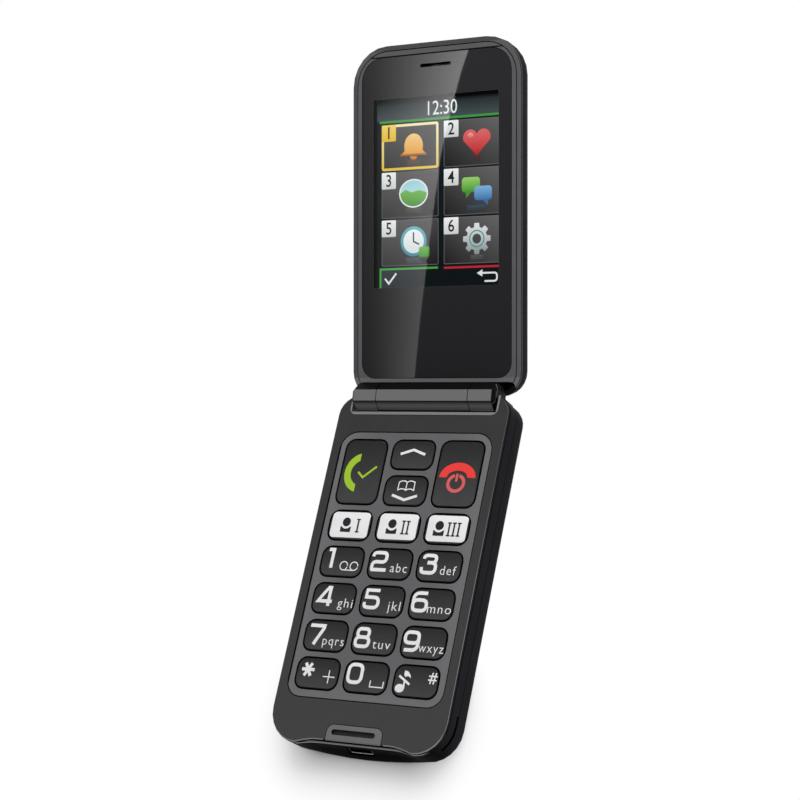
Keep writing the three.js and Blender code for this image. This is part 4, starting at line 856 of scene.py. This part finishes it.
def arrow_keys():
    key = KeyTop("key_up")
    drawing = Drawing(key.x, key.y)
    drawing.stack(strokes(([(-3.8, 0.1), (0.2, 1.4), (4.1, 0.05)], ARROW)))
    print_on(key, "button_up", drawing, white_ink)

    key = KeyTop("key_down")
    drawing = Drawing(key.x, key.y)
    drawing.stack(strokes(([(-3.8, -1.4), (0.3, -2.7), (4.2, -1.45)], ARROW)))
    book = strokes(*[([(side * x, y) for x, y in LEAF], FINE, True) for side in (1, -1)])
    drawing.stack(book, 1, 0.23, 1.38)
    print_on(key, "button_down", drawing, white_ink)


# How far a memory key's film lies inside the cap at its left, foot, right and top, and its corners' radius
FILM_INSETS = (0.72, 0.6, 0.42, 0.42)
FILM_RADIUS = 1.2
# Each memory key's bust, and the stems of its number, across from the key's centre
MEMORY_PLACES = {1: (-1.0, [2.85]), 2: (-1.65, [1.95, 3.4]), 3: (-2.2, [0.85, 2.35, 3.85])}


def memory_keys():
    """The memory keys: a white film set in the dark cap, with a bust and a plain number."""
    left, foot, right, top = FILM_INSETS
    chest = [(-1.65, -2.05), (1.65, -2.05), (1.7, -0.5), (1.25, -0.5)]
    chest += arc(0, 0.75, 1.85, 1.85, -45, -135, 10) + [(-1.25, -0.5), (-1.7, -0.5)]
    bust = [filled([ellipse(0, 0.86, 1.3, 1.3, 24)]), filled([chest])]
    serifs = [([(-0.58, y), (0.58, y)], 0.38) for y in (1.7, -1.9)]
    numeral = strokes(([(0, -2.05), (0, 1.85)], 0.5), *serifs)
    for count, (bust_x, stems) in MEMORY_PLACES.items():
        key = KeyTop(f"key_memory_{count}")
        film = Drawing()
        film.add(filled([
            rounded_box(key.left + left, key.low + foot, key.right - right, key.high - top, FILM_RADIUS),
        ]))
        print_on(key, f"button_memory_{count}", film, white_film, suffix="film", proud=FILM)
        marks = Drawing(key.x, key.y)
        marks.stack(bust, dx=bust_x)
        for x in stems:
            marks.stack(numeral, 2, x)
        print_on(key, f"button_memory_{count}", marks, dark_ink, proud=FILM + INK)


call_keys()
arrow_keys()
memory_keys()


# The display's picture, drawn on the display's face

CONTENT_HALF = 20.0
MARGIN = 0.85  # how much further the background reaches on the left
CONTENT_LOW = 31.5
CONTENT_HIGH = 84.75
TITLE_LOW = 79.35
TILE_LEFTS = (-19.25, 1.3)
TILE_WIDTH = 18.8
TILE_TOPS = (78.2, 64.55, 50.85)
TILE_HEIGHT = 13.15
BADGE = 4.75


def shades(start, end, count):
    """Tones in even steps from one to another."""
    pairs = [(int(start[i : i + 2], 16), int(end[i : i + 2], 16)) for i in (0, 2, 4)]
    return ["".join(f"{round(a + (b - a) * k / (count - 1)):02x}" for a, b in pairs) for k in range(count)]


# Almost black at its upper edge, then evenly lighter
TITLE_TONES = [(tone, tone) for tone in ["050708", *shades("2f3839", "485456", 4)]]
# For the left and the right column: a tile gets evenly darker down its left and its right side. Its outer
# side is lighter, partly the picture's own shading and partly painted reflection of light on the display's
# face.
TILE_TONES = (
    list(zip(shades("686667", "3c3a3b", 5), shades("4b494a", "1e1c1d", 5))),
    list(zip(shades("504e4f", "211f20", 5), shades("6f6d6e", "4a4849", 5))),
)
ICON_ACROSS, ICON_DOWN = 10.6, 6.3  # from a tile's upper left corner to its icon's centre
MIRROR_HEIGHT = 1.7
RULE = 0.6  # width of the coloured rules
LEFT_RULE_TOP = 37.15
RIGHT_RULE_TOP = 37.0
PICTURE_GAP = 0.02  # from the display's face to the picture
PICTURE_STEP = 0.01  # between the picture's layers


def box_shape(left, low, right, high):
    return filled([[(left, low), (right, low), (right, high), (left, high)]])


# The icons, drawn round their centres: each part's shape, its layer and its colours


def icon_bell():
    dome = [(-4.2, -2.6), (4.2, -2.6)] + arc(0, -0.2, 3.1, 3.6, -20, 200, 16)
    return [
        (filled([dome]), 3, "ffd98a", "f0a02c"),
        (filled([arc(0, -3.1, 1.2, 1.0, 180, 360, 8)]), 3, "e08c1e", "c87410"),
        (strokes(([(-4.4, -2.6), (4.4, -2.6)], 0.5))[0], 4, "b8660c"),
    ]


def icon_heart():
    heart = arc(-2.1, 1.0, 2.3, 2.3, 200, 20, 12) + arc(2.1, 1.0, 2.3, 2.3, 160, -20, 12) + [(0, -4.0)]
    return [
        (filled([heart]), 3, "f07070", "c81e22"),
        (filled([ellipse(-2.0, 1.7, 0.9, 0.7, 12)]), 4, "ffb0b0", "f07878"),
    ]


def icon_hills():
    sky = ellipse(0, 0, 4.6, 3.9, 28)
    hill = arc(0, 0, 4.6, 3.9, 180, 360, 16) + [(2.0, 0.9), (-0.6, 0.3), (-2.6, 1.1)]
    return [
        (filled([sky]), 3, "9cd8e4", "d8f0f0"),
        (filled([hill]), 4, "78c050", "3c9028"),
        (strokes((sky, 0.4, True))[0], 5, "f4f6f4"),
    ]


def icon_bubbles():
    return [
        (filled([rounded_box(-4.8, -0.6, 1.0, 3.6, 1.0)]), 3, "a0dc70", "4c9c34"),
        (filled([[(-3.6, -0.4), (-1.6, -0.4), (-3.4, -2.2)]]), 3, "4c9c34"),
        (filled([rounded_box(-0.8, -3.0, 4.8, 1.0, 1.0)]), 4, "88bce8", "3c78b4"),
        (filled([[(1.8, -2.8), (3.6, -2.8), (3.5, -4.4)]]), 4, "3c78b4"),
    ]


def icon_clock():
    hands = strokes(([(0, 0), (0, 2.6)], 0.45), ([(-0.15, 0), (1.9, -0.9)], 0.45))
    return [
        (filled([ellipse(0, 0, 4.3, 4.3, 28)]), 3, "6cc0cc", "3c8ca0"),
        (filled([ellipse(0, 0, 3.4, 3.4, 28)]), 4, "ffffff", "e4eaec"),
        *[(hand, 5, "303438") for hand in hands],
        (filled([rounded_box(1.8, -4.6, 5.2, -1.6, 0.5)]), 6, "6cc048", "3c9028"),
    ]


def icon_cog():
    rim = []
    for start in range(0, 360, 45):
        rim += arc(0, 0, 4.4, 4.4, start - 10, start + 10, 2) + arc(0, 0, 3.3, 3.3, start + 15, start + 30, 2)
    return [
        (filled([rim, ellipse(0, 0, 1.4, 1.4, 16)]), 3, "f2f4f4", "8c9494"),
        (strokes((ellipse(0, 0, 2.3, 2.3, 20), 0.35, True))[0], 4, "3ca0a0"),
    ]


# Each icon, with half the width, the top and the colour of its faint mirror image under it
ICONS = (
    (icon_bell, 2.2, -4.2, "6c4c30"), (icon_heart, 1.2, -4.1, "5c3434"), (icon_hills, 2.6, -4.1, "4c5848"),
    (icon_bubbles, 3.0, -4.3, "40546a"), (icon_clock, 2.4, -4.6, "4c5c60"), (icon_cog, 2.0, -4.6, "5c5e5e"),
)


def display_picture():
    page = Drawing()
    left_edge = -CONTENT_HALF - MARGIN
    page.add(box_shape(left_edge, CONTENT_LOW, CONTENT_HALF, CONTENT_HIGH), 0, "141e22", "0c1416")
    page.patch(left_edge, TITLE_LOW, CONTENT_HALF, CONTENT_HIGH, 1, TITLE_TONES, steps=8)
    page.add(box_shape(-CONTENT_HALF, TITLE_LOW - 0.65, CONTENT_HALF, TITLE_LOW), 2, "46a046")
    page.add(lettering("12:30", 5.7, 0.84, 0.01, align="CENTER"), 3, "f4f6f6", None, 0.4, 80.2)
    for number, (icon, half, base, tone) in enumerate(ICONS, 1):
        left = TILE_LEFTS[(number - 1) % 2]
        top = TILE_TOPS[(number - 1) // 2]
        right, low = left + TILE_WIDTH, top - TILE_HEIGHT
        chosen = number == 1
        edge_tones = ("fff4c0", "f0c83c") if chosen else ("6e6c6e", "6e6c6e")
        badge_tones = ("ffe070", "f4c430") if chosen else ("ffffff", "dcdcdc")
        page.patch(left, low, right, top, 1, TILE_TONES[(number - 1) % 2])
        width = 0.75 if chosen else 0.18
        edge = rounded_box(left + width / 2, low + width / 2, right - width / 2, top - width / 2, 0.4)
        page.add(filled(stroke(edge, width, True)), 6, *edge_tones)
        page.add(filled([rounded_box(left, top - BADGE, left + BADGE, top, 0.3)]), 7, *badge_tones)
        numeral = lettering(str(number), 4.9, 0.9, 0.05, "CENTER")
        page.add(numeral, 8, "26262a", None, left + BADGE / 2, top - BADGE + 0.75)
        x, y = left + ICON_ACROSS, top - ICON_DOWN
        for part in icon():
            page.add(*part, dx=x, dy=y)
        page.add(box_shape(-half, base - MIRROR_HEIGHT, half, base), 2, tone, "3a3839", x, y)
    foot_top = LEFT_RULE_TOP - RULE
    page.patch(-CONTENT_HALF, CONTENT_LOW, -4.5, foot_top, 1, (("3a4248", "10181b"), ("30383e", "0e1518")))
    page.add(box_shape(-CONTENT_HALF, foot_top, -0.6, LEFT_RULE_TOP), 3, "50a850")
    page.add(box_shape(-CONTENT_HALF, CONTENT_LOW, -CONTENT_HALF + RULE, LEFT_RULE_TOP), 3, "50a850")
    page.add(box_shape(1.3, RIGHT_RULE_TOP - RULE, CONTENT_HALF, RIGHT_RULE_TOP), 3, "c8283c")
    for shape in strokes(
        ([(-18.2, 34.2), (-16.9, 32.7), (-14.4, 35.6)], 0.55),
        (rounded_path([(13.0, 34.9), (18.3, 34.9), (18.3, 32.6), (14.4, 32.6)], 0.9), 0.5),
    ):
        page.add(shape, 3, "eef0f0")
    page.add(filled([[(11.9, 34.9), (13.7, 33.9), (13.7, 35.9)]]), 3, "eef0f0")

    def place(drawn):
        for vert in drawn.verts:
            height = DISPLAY_FACE + PICTURE_GAP + vert.co.z * PICTURE_STEP
            vert.co = LID @ (Vector((vert.co.x, vert.co.y, height)) * MM)

    picture = page.build("display_picture", display_pixels, place)
    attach(picture, "display_half")


display_picture()

# Studio

# The camera's axes, a row for each, and the hinge's place from the camera along them, in metres
CAMERA_TURN = Matrix((
    (0.85704202, 0.19904472, -0.47524749),
    (-0.0021644, 0.92375179, 0.38298557),
    (0.51524198, -0.3272061, 0.79212491),
))
CAMERA_OFFSET = Vector((0.00838985, 0.00062052, -0.56665384))
FOCAL_PIXELS = 2020.21
HALF_FRAME = 400  # half the picture's side in pixels
SENSOR = 36  # millimetres

camera_data = bpy.data.cameras.new("camera")
camera_data.sensor_width = SENSOR
camera_data.lens = FOCAL_PIXELS / (2 * HALF_FRAME) * SENSOR
camera_data.clip_start = 0.01
camera = new_object("camera", camera_data)
camera_turn = CAMERA_TURN.transposed()
camera_place = HINGE - camera_turn @ CAMERA_OFFSET
camera.matrix_world = Matrix.Translation(camera_place) @ camera_turn.to_4x4()
bpy.context.scene.camera = camera

FLOOR_REACH = 6.0  # metres
FLOOR_LEVEL = -0.0001
# The shade under the keypad half's lower end, in millimetres: the middle and half the size of a box, along x
# and y, and how far from the box the shade starts to fade and ends
SHADE_MIDDLE = (-3, -40)
SHADE_HALF = (12.5, 2)
SHADE_FADE = (8.5, 24)
SHADE_CURVE = 0.7


def paper_floor():
    """Matt white paper under the phone. Away from the keypad half it gives plain white."""
    material, tree = new_material("matt_white_paper")
    # How far a point lies from the shade's box
    squares = []
    for axis, middle, half in zip("XY", SHADE_MIDDLE, SHADE_HALF):
        off = maths(tree, "ABSOLUTE", maths(tree, "SUBTRACT", axis_of(tree, axis), middle * MM))
        gap = maths(tree, "MAXIMUM", maths(tree, "SUBTRACT", off, half * MM), 0.0)
        squares.append(maths(tree, "POWER", gap, 2.0))
    far = maths(tree, "POWER", maths(tree, "ADD", *squares), 0.5)
    fade = maths(tree, "POWER", ramp(tree, far, *[edge * MM for edge in SHADE_FADE]), SHADE_CURVE)
    lit = add_node(tree, "ShaderNodeBsdfDiffuse", {
        "Color": linear("ffffff"), "Normal": bump(tree, grain(tree, 0.8), 0.01),
    })
    plain = add_node(tree, "ShaderNodeEmission", {"Color": linear("ffffff"), "Strength": 1.0})
    mix = add_node(tree, "ShaderNodeMixShader", {0: fade, 1: lit.outputs[0], 2: plain.outputs[0]})
    mesh = bpy.data.meshes.new("floor")
    sides = ((-1, -1), (1, -1), (1, 1), (-1, 1))
    corners = [(x * FLOOR_REACH, y * FLOOR_REACH, FLOOR_LEVEL) for x, y in sides]
    mesh.from_pydata(corners, [], [(0, 1, 2, 3)])
    mesh.materials.append(finish(material, mix))
    new_object("floor", mesh)


def soft_lamp(name, direction, distance, size, power):
    """A round soft lamp that doesn't show in gloss."""
    light = bpy.data.lights.new(name, "AREA")
    light.shape = "DISK"
    light.size = size
    light.energy = power
    lamp = new_object(name, light)
    toward = Vector(direction).normalized()
    turn = toward.to_track_quat("Z", "Y").to_matrix().to_4x4()
    lamp.matrix_world = Matrix.Translation(toward * distance) @ turn
    lamp.visible_glossy = False


def pixel_ray(x, y):
    """The direction from the camera through a pixel of the picture."""
    return camera_turn @ Vector(((x - HALF_FRAME) / FOCAL_PIXELS, (HALF_FRAME - y) / FOCAL_PIXELS, -1))


def hit_plane(start, direction, point, normal):
    return start + direction * ((point - start).dot(normal) / direction.dot(normal))


# Where the soft box's edge crosses the lens, from its top to its foot, and the column where its glow has
# faded, in the picture's pixels
GLOW_EDGE = (
    (473, 20), (469, 48), (461, 72), (455, 95), (447.5, 125), (441, 155), (434, 205), (427, 262),
    (424, 286), (420, 320), (414.5, 378), (411, 420),
)
GLOW_FADE = 364
GLOW_TOP, GLOW_LOW = 4.2, 1.45  # its strength above the first and below the second of these rows
GLOW_ROWS = (88, 300)
GLOW_LEAST = 0.03  # share of the glow that is left at the faded side
GLOW_CURVE = 1.5
GLOW_COLUMNS = 8
CARD_DISTANCE = 0.5  # metres from the lens


def soft_box():
    """A tall soft box that only shows in gloss. Its edge runs across the lens, and it dims from there."""
    up = LID.to_3x3() @ Vector((0, 0, 1))
    on_lens = LID @ (Vector((0, 0, LENS_FRONT)) * MM)
    middle = LID @ (Vector((0, 50, LENS_FRONT)) * MM)
    view = (middle - camera_place).normalized()
    mirrored = view - up * 2 * view.dot(up)
    card_centre = middle + mirrored * CARD_DISTANCE
    points, glows, faces = [], [], []
    for x_edge, y in GLOW_EDGE:
        lower = min(max((y - GLOW_ROWS[0]) / (GLOW_ROWS[1] - GLOW_ROWS[0]), 0), 1)
        strength = GLOW_TOP + (GLOW_LOW - GLOW_TOP) * lower
        for column in range(GLOW_COLUMNS + 1):
            share = column / GLOW_COLUMNS
            ray = pixel_ray(GLOW_FADE + (x_edge - GLOW_FADE) * share, y)
            hit = hit_plane(camera_place, ray, on_lens, up)
            turned = (hit - camera_place).normalized()
            turned -= up * 2 * turned.dot(up)
            points.append(hit_plane(hit, turned, card_centre, mirrored))
            glows.append(strength * (GLOW_LEAST + (1 - GLOW_LEAST) * share**GLOW_CURVE))
    across = GLOW_COLUMNS + 1
    for row in range(len(GLOW_EDGE) - 1):
        for column in range(GLOW_COLUMNS):
            first = row * across + column
            faces.append((first, first + 1, first + across + 1, first + across))
    mesh = bpy.data.meshes.new("soft_box")
    mesh.from_pydata(points, [], faces)
    glow = mesh.attributes.new("glow", "FLOAT", "POINT")
    for i, value in enumerate(glows):
        glow.data[i].value = value
    material, tree = new_material("soft_box_light")
    strength = add_node(tree, "ShaderNodeAttribute", attribute_name="glow").outputs["Fac"]
    shine = add_node(tree, "ShaderNodeEmission", {"Color": linear("ffffff"), "Strength": strength})
    behind = add_node(tree, "ShaderNodeBsdfTransparent").outputs[0]
    see_through = add_node(tree, "ShaderNodeAddShader", {0: shine.outputs[0], 1: behind})
    mesh.materials.append(finish(material, see_through))
    card = new_object("soft_box", mesh)
    card.visible_camera = card.visible_diffuse = card.visible_shadow = False
    card.visible_transmission = card.visible_volume_scatter = False


WORLD_LIGHT = 0.42
WORLD_IN_GLOSS = 0.03  # dark drapes round the table, so that gloss stays dark beside the soft box


def studio_world():
    world = bpy.data.worlds.new("studio")
    world.use_nodes = True
    tree = world.node_tree
    tree.nodes.clear()
    path = add_node(tree, "ShaderNodeLightPath").outputs
    strength = ramp(tree, path["Is Glossy Ray"], 0, 1, WORLD_LIGHT, WORLD_IN_GLOSS)
    seen = ramp(tree, path["Is Camera Ray"], 0, 1, strength, 1.0)
    light = add_node(tree, "ShaderNodeBackground", {"Color": linear("ffffff"), "Strength": seen})
    add_node(tree, "ShaderNodeOutputWorld", {"Surface": light.outputs[0]})
    bpy.context.scene.world = world


paper_floor()
soft_lamp("high_behind", direction=(0.25, 0.73, 0.72), distance=0.9, size=0.9, power=7.4)
soft_box()
studio_world()
bpy.context.scene.view_settings.view_transform = "Standard"
